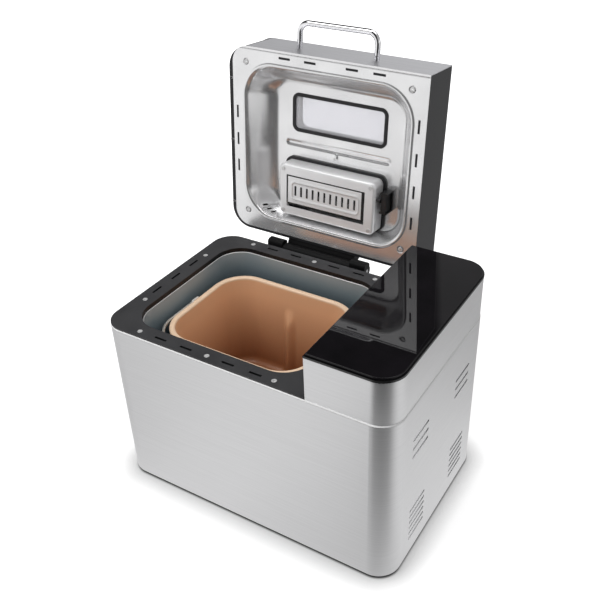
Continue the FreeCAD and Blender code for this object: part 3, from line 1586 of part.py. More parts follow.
def dispenser_screws(body):
    sizes = (d.dispenser_screw_radius, d.dispenser_screw_head, d.dispenser_screw_head_height)
    grip = d.dispenser_screw_grip
    screws(body, "XY", dispenser_low, dispenser_screw_places, -1, grip, *sizes)


def flap_pin(body):
    span = (flap_lug_spans[0][0], flap_lug_spans[1][1])
    draw_circle(slab(body, "YZ", *span), flap_axis_y, flap_axis_z, d.flap_pin_radius)


def dispenser_flap(body):
    """Slotted flap with a knuckle along its back edge and a catch for the latch bolt."""
    plate = slab(body, "XY", dispenser_low, dispenser_plate)
    draw_box(plate, flap_left, flap_right, flap_front, flap_back, d.flap_corner)
    knuckle = slab(body, "YZ", flap_left, flap_right)
    draw_circle(knuckle, flap_axis_y, flap_axis_z, d.flap_knuckle_radius)
    catch = slab(body, "YZ", catch_right - d.catch_thick, catch_right)
    half = d.catch_half
    draw_box(catch, bolt_y - half, bolt_y + half, dispenser_plate, dispenser_plate + d.catch_height)
    bore = cut(body, "YZ", flap_left, flap_right)
    draw_circle(bore, flap_axis_y, flap_axis_z, d.flap_pin_radius + d.running_gap)
    eye = cut(body, "YZ", catch_right - d.catch_thick, catch_right)
    draw_circle(eye, bolt_y, bolt_z, d.bolt_radius + d.bolt_gap)
    slot = cut(body, "XY", dispenser_low, dispenser_plate)
    first = flap_left + d.flap_slot_margin
    pitch = (flap_right - d.flap_slot_margin - first) / (FLAP_SLOTS - 1)
    middle = (flap_front + flap_axis_y) / 2
    draw_middle(slot, first, middle, d.flap_slot_width / 2, d.flap_slot_length / 2)
    row_of(body, FLAP_SLOTS, pitch, "X_Axis")


def dispenser_latch(body):
    """Sliding block beside the box whose bolt goes through the box's side to the flap's catch."""
    block = slab(body, "YZ", latch_left, latch_right)
    draw_box(block, latch_front, latch_back, latch_top - d.latch_block_height, latch_top)
    draw_circle(slab(body, "YZ", bolt_tip, latch_left), bolt_y, bolt_z, d.bolt_radius)


def latch_guide(body):
    """Channel under the liner's floor in which the latch block slides."""
    gap, wall = d.latch_guide_gap, d.latch_guide_wall
    x0 = dispenser_right + d.seal_margin
    x1 = latch_right + wall
    y0, y1 = latch_front - gap, latch_back + gap
    plate_low = recess_low - d.latch_guide_plate
    plate = slab(body, "XY", plate_low, recess_low)
    draw_box(plate, x0, x1, y0 - wall, y1 + wall)
    sides = slab(body, "XY", latch_top - d.latch_block_height, plate_low)
    draw_box(sides, x0, x1, y0 - wall, y0)
    draw_box(sides, x0, x1, y1, y1 + wall)


HOUSING_PIECES = (
    base_tray, rubber_feet, housing_wrap, back_screws, cord_gland,
    panel_collar, panel_chassis, panel_bezel, control_glass, display_module, control_board, power_board,
    top_surround, surround_screws, oven_cavity, heat_shield, heating_element, heater_clips,
    temperature_sensor, pan_socket, frame_screws,
    chassis_bridge, drive_bearing, drive_belt, motor_body, motor_bracket,
    hinge_base, hinge_pin,
)
MOVING_PIECES = (
    drive_shaft, drive_coupling, drive_pulley, motor_shaft, motor_pulley,
    bread_pan, pan_base, pan_bush, bail_ears, pan_bail, paddle_shaft, shaft_wing, kneading_paddle,
)
LID_PIECES = (
    lid_frame, lid_cover, lid_liner, lid_screws, inner_window, window_gasket, window_tunnel, outer_window,
    lid_handle, handle_screws, hinge_leaf, dispenser_box, dispenser_seal, dispenser_frame,
    dispenser_screws, flap_pin, dispenser_flap, dispenser_latch, latch_guide,
)

bodies = {}
for make in HOUSING_PIECES + MOVING_PIECES + LID_PIECES:
    bodies[make.__name__] = new_body(make.__name__)
    make(bodies[make.__name__])
doc.recompute()

# The lid stands open in its rest pose, turned back about the hinge pin.
pin = FreeCAD.Vector(0, hinge_y.value, hinge_z.value)
opening_turn = FreeCAD.Rotation(FreeCAD.Vector(1, 0, 0), -d.lid_open_angle.value)
for make in LID_PIECES:
    bodies[make.__name__].Placement = FreeCAD.Placement(FreeCAD.Vector(), opening_turn, pin)
doc.recompute()

# The origin goes under the middle of the whole object.
whole = FreeCAD.BoundBox()
for body in bodies.values():
    whole.add(body.Shape.optimalBoundingBox(False))
middle = FreeCAD.Vector(-whole.Center.x, -whole.Center.y, 0)
for body in bodies.values():
    placement = body.Placement
    placement.Base = placement.Base + middle
    body.Placement = placement
doc.recompute()

for thing in doc.Objects:
    if "Invalid" in thing.State or "Error" in thing.State:
        raise RuntimeError(f"{thing.Label} failed: {thing.State}")
    if thing.isDerivedFrom("PartDesign::Pocket"):
        if thing.Shape.Volume > thing.BaseFeature.Shape.Volume - 0.01:
            raise RuntimeError(f"{thing.Label} cuts nothing")
for label, body in bodies.items():
    if body.Shape.isNull() or not body.Shape.isValid():
        raise RuntimeError(f"{label} has no valid shape")

os.makedirs("parts", exist_ok=True)
for label, body in bodies.items():
    body.Shape.exportStep(os.path.join("parts", label + ".step"))
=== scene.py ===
import json
import math

import bpy
import numpy as np
from mathutils import Matrix, Vector


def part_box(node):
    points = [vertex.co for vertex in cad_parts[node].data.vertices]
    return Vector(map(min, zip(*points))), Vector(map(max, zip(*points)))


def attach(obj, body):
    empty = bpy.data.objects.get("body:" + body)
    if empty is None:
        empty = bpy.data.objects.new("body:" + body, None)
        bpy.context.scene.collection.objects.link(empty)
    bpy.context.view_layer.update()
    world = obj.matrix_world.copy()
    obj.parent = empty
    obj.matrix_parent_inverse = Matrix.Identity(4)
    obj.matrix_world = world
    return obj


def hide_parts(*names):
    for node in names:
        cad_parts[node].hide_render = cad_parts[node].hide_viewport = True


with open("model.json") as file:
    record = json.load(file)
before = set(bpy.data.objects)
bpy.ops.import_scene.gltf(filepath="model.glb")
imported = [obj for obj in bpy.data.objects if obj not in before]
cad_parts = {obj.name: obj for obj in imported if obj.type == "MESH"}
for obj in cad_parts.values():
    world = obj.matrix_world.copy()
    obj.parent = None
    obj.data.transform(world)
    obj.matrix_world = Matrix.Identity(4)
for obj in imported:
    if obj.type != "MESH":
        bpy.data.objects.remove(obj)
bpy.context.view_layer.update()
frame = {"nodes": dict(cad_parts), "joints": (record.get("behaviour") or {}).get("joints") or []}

bl_info = {
    "name": "Bread machine finishes",
    "version": (1, 0, 0),
    "blender": (4, 5, 0),
    "location": "3D View > Sidebar > Bread machine",
    "description": "Gives the packed bread machine its pressed sheets, its finishes and a plain studio",
    "category": "Object",
}

# Sizes are in metres. Places are measured from the housing's middle and from the table up, with the lid shut.
HINGE = next(joint for joint in frame["joints"] if joint["name"] == "lid_hinge")
HOUSING_Y = sum(corner.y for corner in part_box("base_tray")) / 2
HOUSING_HALF_X, HOUSING_HALF_Y, HOUSING_CORNER, HOUSING_TOP = 0.2, 0.13, 0.029, 0.238
PAN_X = -0.052  # middle of the oven and the pan
SCREW_RADIUS = 0.0032
LINER_SCREWS = [(x, y) for x in (-0.172, 0.068) for y in (-0.1095, 0.0995)]

# The camera fitted to the photograph.
CAMERA_PLACE = (0.46231, -0.69427 + HOUSING_Y, 0.81309)
CAMERA_TURN, CAMERA_LIFT, CAMERA_ROLL = (math.radians(angle) for angle in (31.38, 33.25, -1.42))
CAMERA_LENS, CAMERA_SENSOR = 49.29, 36.0
CAMERA_SHIFT_X, CAMERA_SHIFT_Y = -0.0361, -0.0055

# Most of a noise pattern lies between these two values.
NOISE_LOW, NOISE_HIGH = 0.3, 0.7


def linear(code):
    """sRGB hex to linear RGBA: below the toe a straight line, above it a 2.4 power."""
    parts = np.array([int(code[i:i + 2], 16) for i in (1, 3, 5)]) / 255
    parts = np.where(parts <= 0.04045, parts / 12.92, ((parts + 0.055) / 1.055) ** 2.4)
    return (*parts.tolist(), 1.0)


def add(tree, kind, inputs=None, **settings):
    """Add one shader node, set its options, and fill or link its inputs, by name or number. A node given for an
    input means its first output. The numbers 0 to 4 of a Map Range are its value, the range that the value comes
    from and the range that it goes to, each 0 to 1 where it isn't given."""
    node = tree.nodes.new("ShaderNode" + kind)
    for key, value in settings.items():
        setattr(node, key, value)
    for socket, value in (inputs or {}).items():
        if isinstance(value, bpy.types.Node):
            value = value.outputs[0]
        if isinstance(value, bpy.types.NodeSocket):
            tree.links.new(value, node.inputs[socket])
        else:
            node.inputs[socket].default_value = value
    return node


def start(name):
    """Empty node material: returns it, its tree and its Object coordinates."""
    material = bpy.data.materials.new(name)
    material.use_nodes = True
    tree = material.node_tree
    tree.nodes.clear()
    return material, tree, add(tree, "TexCoord").outputs["Object"]


def brushed_stainless(name, dark, light, across, rough, axis):
    """Stainless sheet brushed with a grit belt: straight hairlines that pull highlights across them."""
    material, tree, coords = start(name)
    # Hairlines are about 70 mm long. They are 0.1 mm wide or less, and drawn 1.2 mm wide so that they show.
    length, width = 0.07, 0.0012
    scale = tuple(1 / width if fine else 1 / length for fine in across)
    drawn_out = add(tree, "Mapping", {"Vector": coords, "Scale": scale})
    lines = add(tree, "TexNoise", {"Vector": drawn_out, "Scale": 1.0, "Detail": 4.0})
    share = add(tree, "MapRange", {0: lines, 1: NOISE_LOW, 2: NOISE_HIGH})
    tone = add(tree, "MixRGB", {"Fac": share, "Color1": linear(dark), "Color2": linear(light)})
    dull = add(tree, "MapRange", {0: lines, 3: rough - 0.02, 4: rough + 0.02})
    scratch = add(tree, "Bump", {"Height": lines, "Strength": 0.012, "Distance": 0.0002})
    around = add(tree, "Tangent", direction_type="RADIAL", axis=axis)
    shader = add(tree, "BsdfPrincipled", {
        "Base Color": tone, "Metallic": 1.0, "Roughness": dull, "Normal": scratch,
        "Anisotropic": 0.85, "Anisotropic Rotation": 0.25, "Tangent": around,
    })
    add(tree, "OutputMaterial", {"Surface": shader})
    return material


def satin_metal(name, dark, light, rough, bump=0.02, metallic=1.0):
    """Sheet or cast metal: a soft even sheen, faint clouding and a fine grain."""
    material, tree, coords = start(name)
    # The grain is 0.1 mm or less, and drawn 0.8 mm wide so that it shows. Clouds are about 56 mm across.
    grain, clouds = 0.0008, 0.0556
    speck = add(tree, "TexNoise", {"Vector": coords, "Scale": 1 / grain})
    cloud = add(tree, "TexNoise", {"Vector": coords, "Scale": 1 / clouds, "Detail": 3.0})
    share = add(tree, "MapRange", {0: cloud, 1: NOISE_LOW, 2: NOISE_HIGH})
    tone = add(tree, "MixRGB", {"Fac": share, "Color1": linear(dark), "Color2": linear(light)})
    dull = add(tree, "MapRange", {0: speck, 3: rough - 0.04, 4: rough + 0.04})
    tooth = add(tree, "Bump", {"Height": speck, "Strength": bump, "Distance": 0.0003})
    shader = add(tree, "BsdfPrincipled", {
        "Base Color": tone, "Metallic": metallic, "Roughness": dull, "Normal": tooth,
    })
    add(tree, "OutputMaterial", {"Surface": shader})
    return material


def painted_glint_edge(name, front, side):
    """Rolled edge with a painted highlight: a white glint painted along the front that dies away round the right
    corner.
    """
    material, tree, coords = start(name)
    parts = add(tree, "SeparateXYZ", {0: coords})
    # The corner starts 171 mm right of the middle and ends at 200 mm, and the painted glint fades just inside it.
    turn = add(tree, "MapRange", {0: parts.outputs["X"], 1: 0.175, 2: 0.199})
    tone = add(tree, "MixRGB", {"Fac": turn, "Color1": linear(front), "Color2": linear(side)})
    shader = add(tree, "BsdfPrincipled", {"Base Color": tone, "IOR": 1.5, "Roughness": 0.3})
    add(tree, "OutputMaterial", {"Surface": shader})
    return material


def moulded_plastic(name, dark, light, rough, grain=0.0007, bump=0.12, shine=0.5, painted_shade_below=0.0):
    """Moulded plastic or rubber with spark-eroded grain: a fine pebble that breaks up the shine. Below a height
    it is painted near black: painted shade for deep walls that lie in shadow."""
    material, tree, coords = start(name)
    # The pebbles are 0.1 to 0.2 mm wide, and drawn 0.7 mm wide so that they show. Clouds are about 33 mm across.
    clouds, edge = 0.0333, 0.0002
    pebble = add(tree, "TexVoronoi", {"Vector": coords, "Scale": 1 / grain})
    cloud = add(tree, "TexNoise", {"Vector": coords, "Scale": 1 / clouds, "Detail": 3.0})
    share = add(tree, "MapRange", {0: cloud, 1: NOISE_LOW, 2: NOISE_HIGH})
    tone = add(tree, "MixRGB", {"Fac": share, "Color1": linear(dark), "Color2": linear(light)})
    # Painted shade: below the height the colour is darkened to a tenth.
    if painted_shade_below > 0:
        height = add(tree, "SeparateXYZ", {0: coords}).outputs["Z"]
        above = add(tree, "MapRange", {0: height, 1: painted_shade_below - edge, 2: painted_shade_below + edge, 3: 0.1})
        tone = add(tree, "VectorMath", {0: tone, "Scale": above}, operation="SCALE")
    dull = add(tree, "MapRange", {0: cloud, 3: rough - 0.05, 4: rough + 0.05})
    tooth = add(tree, "Bump", {"Height": pebble, "Strength": bump, "Distance": 0.0002})
    shader = add(tree, "BsdfPrincipled", {
        "Base Color": tone, "Roughness": dull, "Normal": tooth, "IOR": 1.5, "Specular IOR Level": shine,
    })
    add(tree, "OutputMaterial", {"Surface": shader})
    return material


def gloss_glass(name, dark, light):
    """Back-painted control glass: a black mirror with only the faintest polish marks."""
    material, tree, coords = start(name)
    # Polish marks are about 40 mm across.
    cloud = add(tree, "TexNoise", {"Vector": coords, "Scale": 1 / 0.04})
    share = add(tree, "MapRange", {0: cloud, 1: NOISE_LOW, 2: NOISE_HIGH})
    tone = add(tree, "MixRGB", {"Fac": share, "Color1": linear(dark), "Color2": linear(light)})
    dull = add(tree, "MapRange", {0: cloud, 3: 0.015, 4: 0.03})
    shader = add(tree, "BsdfPrincipled", {
        "Base Color": tone, "Roughness": dull, "IOR": 1.52, "Specular IOR Level": 0.23,
    })
    add(tree, "OutputMaterial", {"Surface": shader})
    return material


def clear_glass(name, dark, light, clear):
    """Tempered window glass: a share of it clear, the rest a haze, with a faint cool tint."""
    material, tree, coords = start(name)
    # The waves that tempering leaves are about 83 mm long.
    cloud = add(tree, "TexNoise", {"Vector": coords, "Scale": 1 / 0.0833})
    share = add(tree, "MapRange", {0: cloud, 1: NOISE_LOW, 2: NOISE_HIGH})
    tone = add(tree, "MixRGB", {"Fac": share, "Color1": linear(dark), "Color2": linear(light)})
    dull = add(tree, "MapRange", {0: cloud, 4: 0.01})
    shader = add(tree, "BsdfPrincipled", {
        "Base Color": tone, "Roughness": dull, "IOR": 1.46, "Transmission Weight": clear,
    })
    add(tree, "OutputMaterial", {"Surface": shader})
    return material


def nonstick_coating(name, deep, pale, rough, low, high, lip="", lip_at=0.0):
    """Sprayed ceramic non-stick: a warm coat with a soft sheen and fine flecks, painted darker toward the floor
    between two heights as painted shade, and paler above a lip."""
    material, tree, coords = start(name)
    # Flecks of the spray are about 0.9 mm wide. The paler colour above the lip fades in over 2 mm.
    flecks, lip_blend = 0.00091, 0.002
    fleck = add(tree, "TexNoise", {"Vector": coords, "Scale": 1 / flecks})
    height = add(tree, "SeparateXYZ", {0: coords}).outputs["Z"]
    # Painted shade: the colour goes from the deep tone at the low height to the pale one at the high height.
    up = add(tree, "MapRange", {0: height, 1: low, 2: high})
    share = add(tree, "Math", {0: fleck, 1: 0.12, 2: up}, operation="MULTIPLY_ADD", use_clamp=True)
    coat = add(tree, "MixRGB", {"Fac": share, "Color1": linear(deep), "Color2": linear(pale)})
    if lip:
        above = add(tree, "MapRange", {0: height, 1: lip_at, 2: lip_at + lip_blend})
        coat = add(tree, "MixRGB", {"Fac": above, "Color1": coat, "Color2": linear(lip)})
    dull = add(tree, "MapRange", {0: fleck, 3: rough - 0.05, 4: rough + 0.05})
    tooth = add(tree, "Bump", {"Height": fleck, "Strength": 0.05, "Distance": 0.0002})
    shader = add(tree, "BsdfPrincipled", {
        "Base Color": coat, "Metallic": 0.1, "Roughness": dull, "Normal": tooth, "IOR": 1.5,
        "Coat Weight": 0.2, "Coat Roughness": 0.3,
    })
    add(tree, "OutputMaterial", {"Surface": shader})
    return material


def finish(material, *nodes):
    """Give CAD nodes a material."""
    for name in nodes:
        mesh = frame["nodes"][name].data
        mesh.materials.clear()
        mesh.materials.append(material)


def swing_open(x, y, z):
    """Closed-lid coordinates, centred on the housing, to the open rest pose: a turn about the hinge pin."""
    turn = math.radians(-HINGE["range_deg"][0])
    pin_y, pin_z = HINGE["pos_m"][1], HINGE["pos_m"][2]
    dy, dz = y + HOUSING_Y - pin_y, z - pin_z
    return np.stack((
        x,
        pin_y + dy * math.cos(turn) + dz * math.sin(turn),
        pin_z - dy * math.sin(turn) + dz * math.cos(turn),
    ), axis=-1)


def stand(x, y, z):
    """Coordinates centred on the housing to the frame's."""
    return np.stack(np.broadcast_arrays(x, y + HOUSING_Y, z), axis=-1)


def make_piece(name, points, keep, material, body, closed=(False, False), pole=False, flip=False):
    """Mesh from grids of points, shape (grids, rows, columns, 3). Cells that aren't kept are left out. A closed
    direction joins its last line to its first, and a pole closes each first row to one point."""
    grids, rows, columns = points.shape[:3]
    index = np.arange(grids * rows * columns).reshape(grids, rows, columns)
    if pole:
        index[:, 0] = index[:, 0, :1]
    if closed[0]:
        index = np.concatenate((index, index[:, :1]), axis=1)
    if closed[1]:
        index = np.concatenate((index, index[:, :, :1]), axis=2)
    quads = np.stack((index[:, :-1, :-1], index[:, :-1, 1:], index[:, 1:, 1:], index[:, 1:, :-1]), axis=-1)
    tips = np.zeros((0, 3), int)
    if pole:
        tips = quads[:, 0][..., [0, 2, 3]].reshape(-1, 3)
        quads = quads[:, 1:]
    quads = quads.reshape(-1, 4) if keep is None else quads[keep]
    if flip:
        quads, tips = quads[:, ::-1], tips[:, ::-1]
    used, renumbered = np.unique(np.concatenate((quads.ravel(), tips.ravel())), return_inverse=True)
    faces = renumbered[:quads.size].reshape(-1, 4).tolist() + renumbered[quads.size:].reshape(-1, 3).tolist()
    mesh = bpy.data.meshes.new(name)
    mesh.from_pydata(points.reshape(-1, 3)[used], [], faces)
    mesh.polygons.foreach_set("use_smooth", np.ones(len(faces), bool))
    mesh.materials.append(material)
    mesh.update()
    piece = bpy.data.objects.new(name, mesh)
    bpy.context.scene.collection.objects.link(piece)
    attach(piece, body)
    return piece


def round_box(x, y, x0, x1, y0, y1, radius):
    """Signed distance to a round-cornered box: negative inside, positive outside."""
    over_x = np.abs(x - (x0 + x1) / 2) - (x1 - x0) / 2 + radius
    over_y = np.abs(y - (y0 + y1) / 2) - (y1 - y0) / 2 + radius
    outside = np.hypot(np.maximum(over_x, 0), np.maximum(over_y, 0))
    return outside + np.minimum(np.maximum(over_x, over_y), 0) - radius


def soft_low(a, b, blend):
    """The lower of two heights, with the corner between them rounded over a blend."""
    near = np.maximum(blend - np.abs(a - b), 0) / blend
    return np.minimum(a, b) - near ** 2 * blend / 4


def hump(distance, width):
    """Raised-cosine hump: one at distance zero, none past the width."""
    return np.where(np.abs(distance) < width, (1 + np.cos(np.pi * distance / width)) / 2, 0)


def steps(*spans):
    """Grid lines from spans (start, end, spacing), each evenly divided."""
    lines = [np.linspace(a, b, max(2, round((b - a) / gap) + 1)) for a, b, gap in spans]
    return np.unique(np.round(np.concatenate(lines), 7))


def with_edges(lines, edges):
    """Grid lines with the edges of holes added."""
    return np.unique(np.round(np.concatenate((lines, np.ravel(edges))), 7))


def cell_middles(x, y):
    """Middles of a grid's cells."""
    return (x[:-1, :-1] + x[1:, 1:]) / 2, (y[:-1, :-1] + y[1:, 1:]) / 2


def arc(middle, height, radius, first, last, count):
    """Points of a profile's round: offsets and heights on a circle between two angles in degrees."""
    angle = np.radians(np.linspace(first, last, count))
    return np.stack((middle + radius * np.cos(angle), height + radius * np.sin(angle)), axis=-1)


def loops(half_x, half_y, corner, straight, bend):
    """Round-cornered rectangles, one for each row: four quarter circles joined by evenly divided straights, with
    that many points on each straight and each bend. Sizes have one row each; a corner may have four columns, from
    the back right corner on."""
    half_x, half_y = (np.asarray(size, float).reshape(-1, 1) for size in (half_x, half_y))
    corner = np.asarray(corner, float).reshape(len(half_x), -1) * np.ones((1, 4))
    quarter = np.linspace(0, np.pi / 2, bend)
    ends = []
    for k, (side_x, side_y) in enumerate(((1, 1), (-1, 1), (-1, -1), (1, -1))):
        radius = corner[:, k:k + 1]
        angle = quarter + k * np.pi / 2
        ends.append(np.stack((
            side_x * (half_x - radius) + radius * np.cos(angle),
            side_y * (half_y - radius) + radius * np.sin(angle),
        ), axis=-1))
    share = np.linspace(0, 1, straight + 2)[1:-1, None]
    parts = []
    for k in range(4):
        first, last = ends[k][:, -1:], ends[(k + 1) % 4][:, :1]
        parts += [ends[k], first + (last - first) * share]
    return np.concatenate(parts, axis=1)


def screw_heads(name, places, material, body, rise, turn_up):
    """Domed heads with a cross recess: a height over radius and angle, low in two crossed grooves. The last
    ring drops by a millimetre into the seat. turn_up takes offsets and height to the frame."""
    rings = np.append(np.linspace(0, SCREW_RADIUS, 14), SCREW_RADIUS)
    around = np.linspace(0, 2 * np.pi, 48, endpoint=False)
    r, t = np.meshgrid(rings, around, indexing="ij")
    x, y = r * np.cos(t), r * np.sin(t)
    reach, half_groove, side, end, depth = (share * SCREW_RADIUS for share in (0.62, 0.16, 0.08, 0.1, 0.35))
    cross = np.minimum(np.abs(x), np.abs(y)) - half_groove
    sunk = np.clip(-cross / side, 0, 1) * np.clip((reach - r) / end, 0, 1)
    high = rise * (1 - (r / SCREW_RADIUS) ** 2) - depth * sunk
    high[-1] = -0.001
    points = np.stack([turn_up(x + px, y + py, high) for px, py in places])
    return make_piece(name, points, None, material, body, closed=(False, True), pole=True)


def rolled_edge(name, material, middle_x, half_x, half_y, corner, out, height, radius, tall=1.0):
    """Rolled edge of a sheet: a wire, round or taller than wide, carried along a round-cornered outline and set
    out from it by a little."""
    grow, z = arc(0, 0, radius, 0, 360, 17)[:-1].T * np.array(((1,), (tall,))) + np.array(((out,), (height,)))
    path = loops(half_x + grow, half_y + grow, corner + grow, straight=40, bend=24)
    points = stand(path[..., 0] + middle_x, path[..., 1], z[:, None])[None]
    return make_piece(name, points, None, material, "housing", closed=(True, True))


class LinerSizes(bpy.types.PropertyGroup):
    """Sizes of the lid's pressed liner, with the lid shut."""

    face: bpy.props.FloatProperty(
        name="Face height", description="Height of the liner's flange above the table", default=0.2426,
        unit="LENGTH")
    depth: bpy.props.FloatProperty(
        name="Recess depth", description="How far the recess goes up into the lid", default=0.0354,
        unit="LENGTH")
    floor_round: bpy.props.FloatProperty(
        name="Floor rounding", description="Blend between the recess's walls and its floor", default=0.02,
        unit="LENGTH")
    mouth_round: bpy.props.FloatProperty(
        name="Mouth rounding", description="Blend between the flange and the recess's walls", default=0.004,
        unit="LENGTH")
    bead: bpy.props.FloatProperty(
        name="Bead height", description="Height of the bead round the recess", default=0.001, unit="LENGTH")
    groove: bpy.props.FloatProperty(
        name="Groove depth", description="Depth of the groove between window and dispenser", default=0.0022,
        unit="LENGTH")


class PanSizes(bpy.types.PropertyGroup):
    """Sizes of the pan's details."""

    rib_place: bpy.props.FloatProperty(
        name="Rib place", description="How far right of the pan's middle the upright rib stands", default=-0.007,
        unit="LENGTH")
    rib_width: bpy.props.FloatProperty(
        name="Rib width", description="Half width of the rib, to where it has faded into the wall", default=0.011,
        unit="LENGTH")
    rib_depth: bpy.props.FloatProperty(
        name="Rib depth", description="How far the rib stands in from the wall", default=0.007, unit="LENGTH")
    floor_round: bpy.props.FloatProperty(
        name="Floor rounding", description="Round between the pan's wall and its floor", default=0.009,
        unit="LENGTH")


class FinishColours(bpy.types.PropertyGroup):
    """The main colours, as hex codes."""

    steel: bpy.props.StringProperty(
        name="Steel", description="Lighter tone of the brushed steel", default="#e1e1e2")
    liner: bpy.props.StringProperty(
        name="Liner", description="Lighter tone of the liner", default="#f4f4f5")
    plastic: bpy.props.StringProperty(
        name="Plastic", description="Lighter tone of the black plastic", default="#38383a")
    pan: bpy.props.StringProperty(
        name="Pan", description="Lighter tone of the pan's coating", default="#fcca9e")
    cavity: bpy.props.StringProperty(
        name="Oven", description="Lighter tone of the oven's coating", default="#a6b2b7")


class BREAD_OT_steel_shell(bpy.types.Operator):
    """Brushed steel on the housing, the control block and the lid"""

    bl_idname = "bread.steel_shell"
    bl_label = "Steel shell"

    def execute(self, context):
        light = context.scene.bread_colours.steel
        shell = brushed_stainless("stainless_sheet_brushed", "#dbdbdc", light, across=(0, 0, 1), rough=0.42, axis="Z")
        finish(shell, "housing_wrap", "panel_collar")
        lid = brushed_stainless("stainless_lid_brushed", "#d2d2d6", "#e0e0e4", across=(0, 1, 1), rough=0.4, axis="X")
        finish(lid, "lid_cover")
        self.collar(shell)
        # Painted highlight: the housing's rolled edge is coloured white along the front and grey round the side.
        edge = painted_glint_edge("stainless_rim_painted_glint", "#ffffff", "#c4c4c4")
        rolled_edge("shell_rim", edge, middle_x=0.0, half_x=HOUSING_HALF_X, half_y=HOUSING_HALF_Y,
                    corner=HOUSING_CORNER, out=-0.0006, height=HOUSING_TOP + 0.0004, radius=0.0006, tall=2.0)
        return {"FINISHED"}

    def collar(self, shell):
        """Control block's steel collar, set in from the housing by a hair so that the housing's rolled edge
        shows: its outline carried up a profile with a round at top and bottom, and down again inside."""
        left, high, sheet, inset = 0.0928, 0.296, 0.0008, 0.0007
        low_round, top_round, sharp = 0.0004, 0.0008, 0.0006
        outer = np.concatenate((
            arc(-inset - low_round, HOUSING_TOP + low_round, low_round, -90, 0, 4),
            arc(-inset - top_round, high - top_round, top_round, 0, 90, 7),
        ))
        inner = np.array([(-inset - sheet, high), (-inset - sheet, HOUSING_TOP)])
        grow, z = np.concatenate((outer, inner)).T
        half_x = (HOUSING_HALF_X - left) / 2 + grow / 2
        middle = (HOUSING_HALF_X + left) / 2 + grow / 2
        right_corner, left_corner = HOUSING_CORNER + grow, np.full(z.shape, sharp)
        corners = np.stack((right_corner, left_corner, left_corner, right_corner), axis=-1)
        path = loops(half_x, HOUSING_HALF_Y + grow, corners, straight=30, bend=24)
        points = stand(path[..., 0] + middle[:, None], path[..., 1], z[:, None])[None]
        piece = make_piece("control_collar", points, None, shell, "housing", closed=(True, True))
        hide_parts("panel_collar")


class BREAD_OT_control_block(bpy.types.Operator):
    """Black glass and bezel of the control block, and what is under them"""

    bl_idname = "bread.control_block"
    bl_label = "Control block"

    def execute(self, context):
        finish(gloss_glass("control_glass_back_painted", "#0e0d0f", "#151316"), "control_glass")
        finish(moulded_plastic("abs_bezel_polished", "#0c0c0d", "#111112", rough=0.18, bump=0.01), "panel_bezel")
        finish(moulded_plastic("abs_chassis_moulded", "#1d1d1e", "#232324", rough=0.5), "panel_chassis")
        finish(gloss_glass("acrylic_cover_polished", "#0a0c0e", "#101418"), "display_module")
        # Solder joints about 3 mm apart under green lacquer.
        board = moulded_plastic("epoxy_board_lacquered", "#123d22", "#1b5430", rough=0.4, grain=0.003, bump=0.3)
        finish(board, "control_board", "power_board")
        return {"FINISHED"}


class BREAD_OT_oven(bpy.types.Operator):
    """Surround, oven walls, heater and sensor"""

    bl_idname = "bread.oven"
    bl_label = "Oven"

    def execute(self, context):
        colours = context.scene.bread_colours
        # Painted shade: the surround's walls below its top face are painted near black.
        surround = moulded_plastic("pbt_surround_moulded", "#303032", colours.plastic, rough=0.42, painted_shade_below=0.2411)
        finish(surround, "top_surround")
        # Painted shade: the oven's coat is painted darker toward its floor, deeper in the oven.
        cavity = nonstick_coating("coated_steel_oven_wall", "#284f63", colours.cavity, rough=0.36,
                                  low=0.175, high=0.235)
        finish(cavity, "oven_cavity")
        finish(satin_metal("steel_tube_oxidised", "#3c3a38", "#55524e", rough=0.45), "heating_element")
        plated = satin_metal("steel_sheet_zinc_plated", "#9fa1a3", "#b9bbbd", rough=0.35)
        finish(plated, "heater_clips", "temperature_sensor", "heat_shield", "chassis_bridge", "motor_bracket")
        finish(satin_metal("aluminium_socket_cast", "#8d8d8c", "#a9a9a8", rough=0.48, bump=0.08), "pan_socket")
        edge = satin_metal("stainless_edge_rolled", "#e4e4e4", "#f0f0f0", rough=0.3, metallic=0.6)
        rolled_edge("oven_lip", edge, middle_x=PAN_X, half_x=0.1188, half_y=0.106, corner=0.0345,
                    out=0.00075, height=0.235, radius=0.0007)
        return {"FINISHED"}


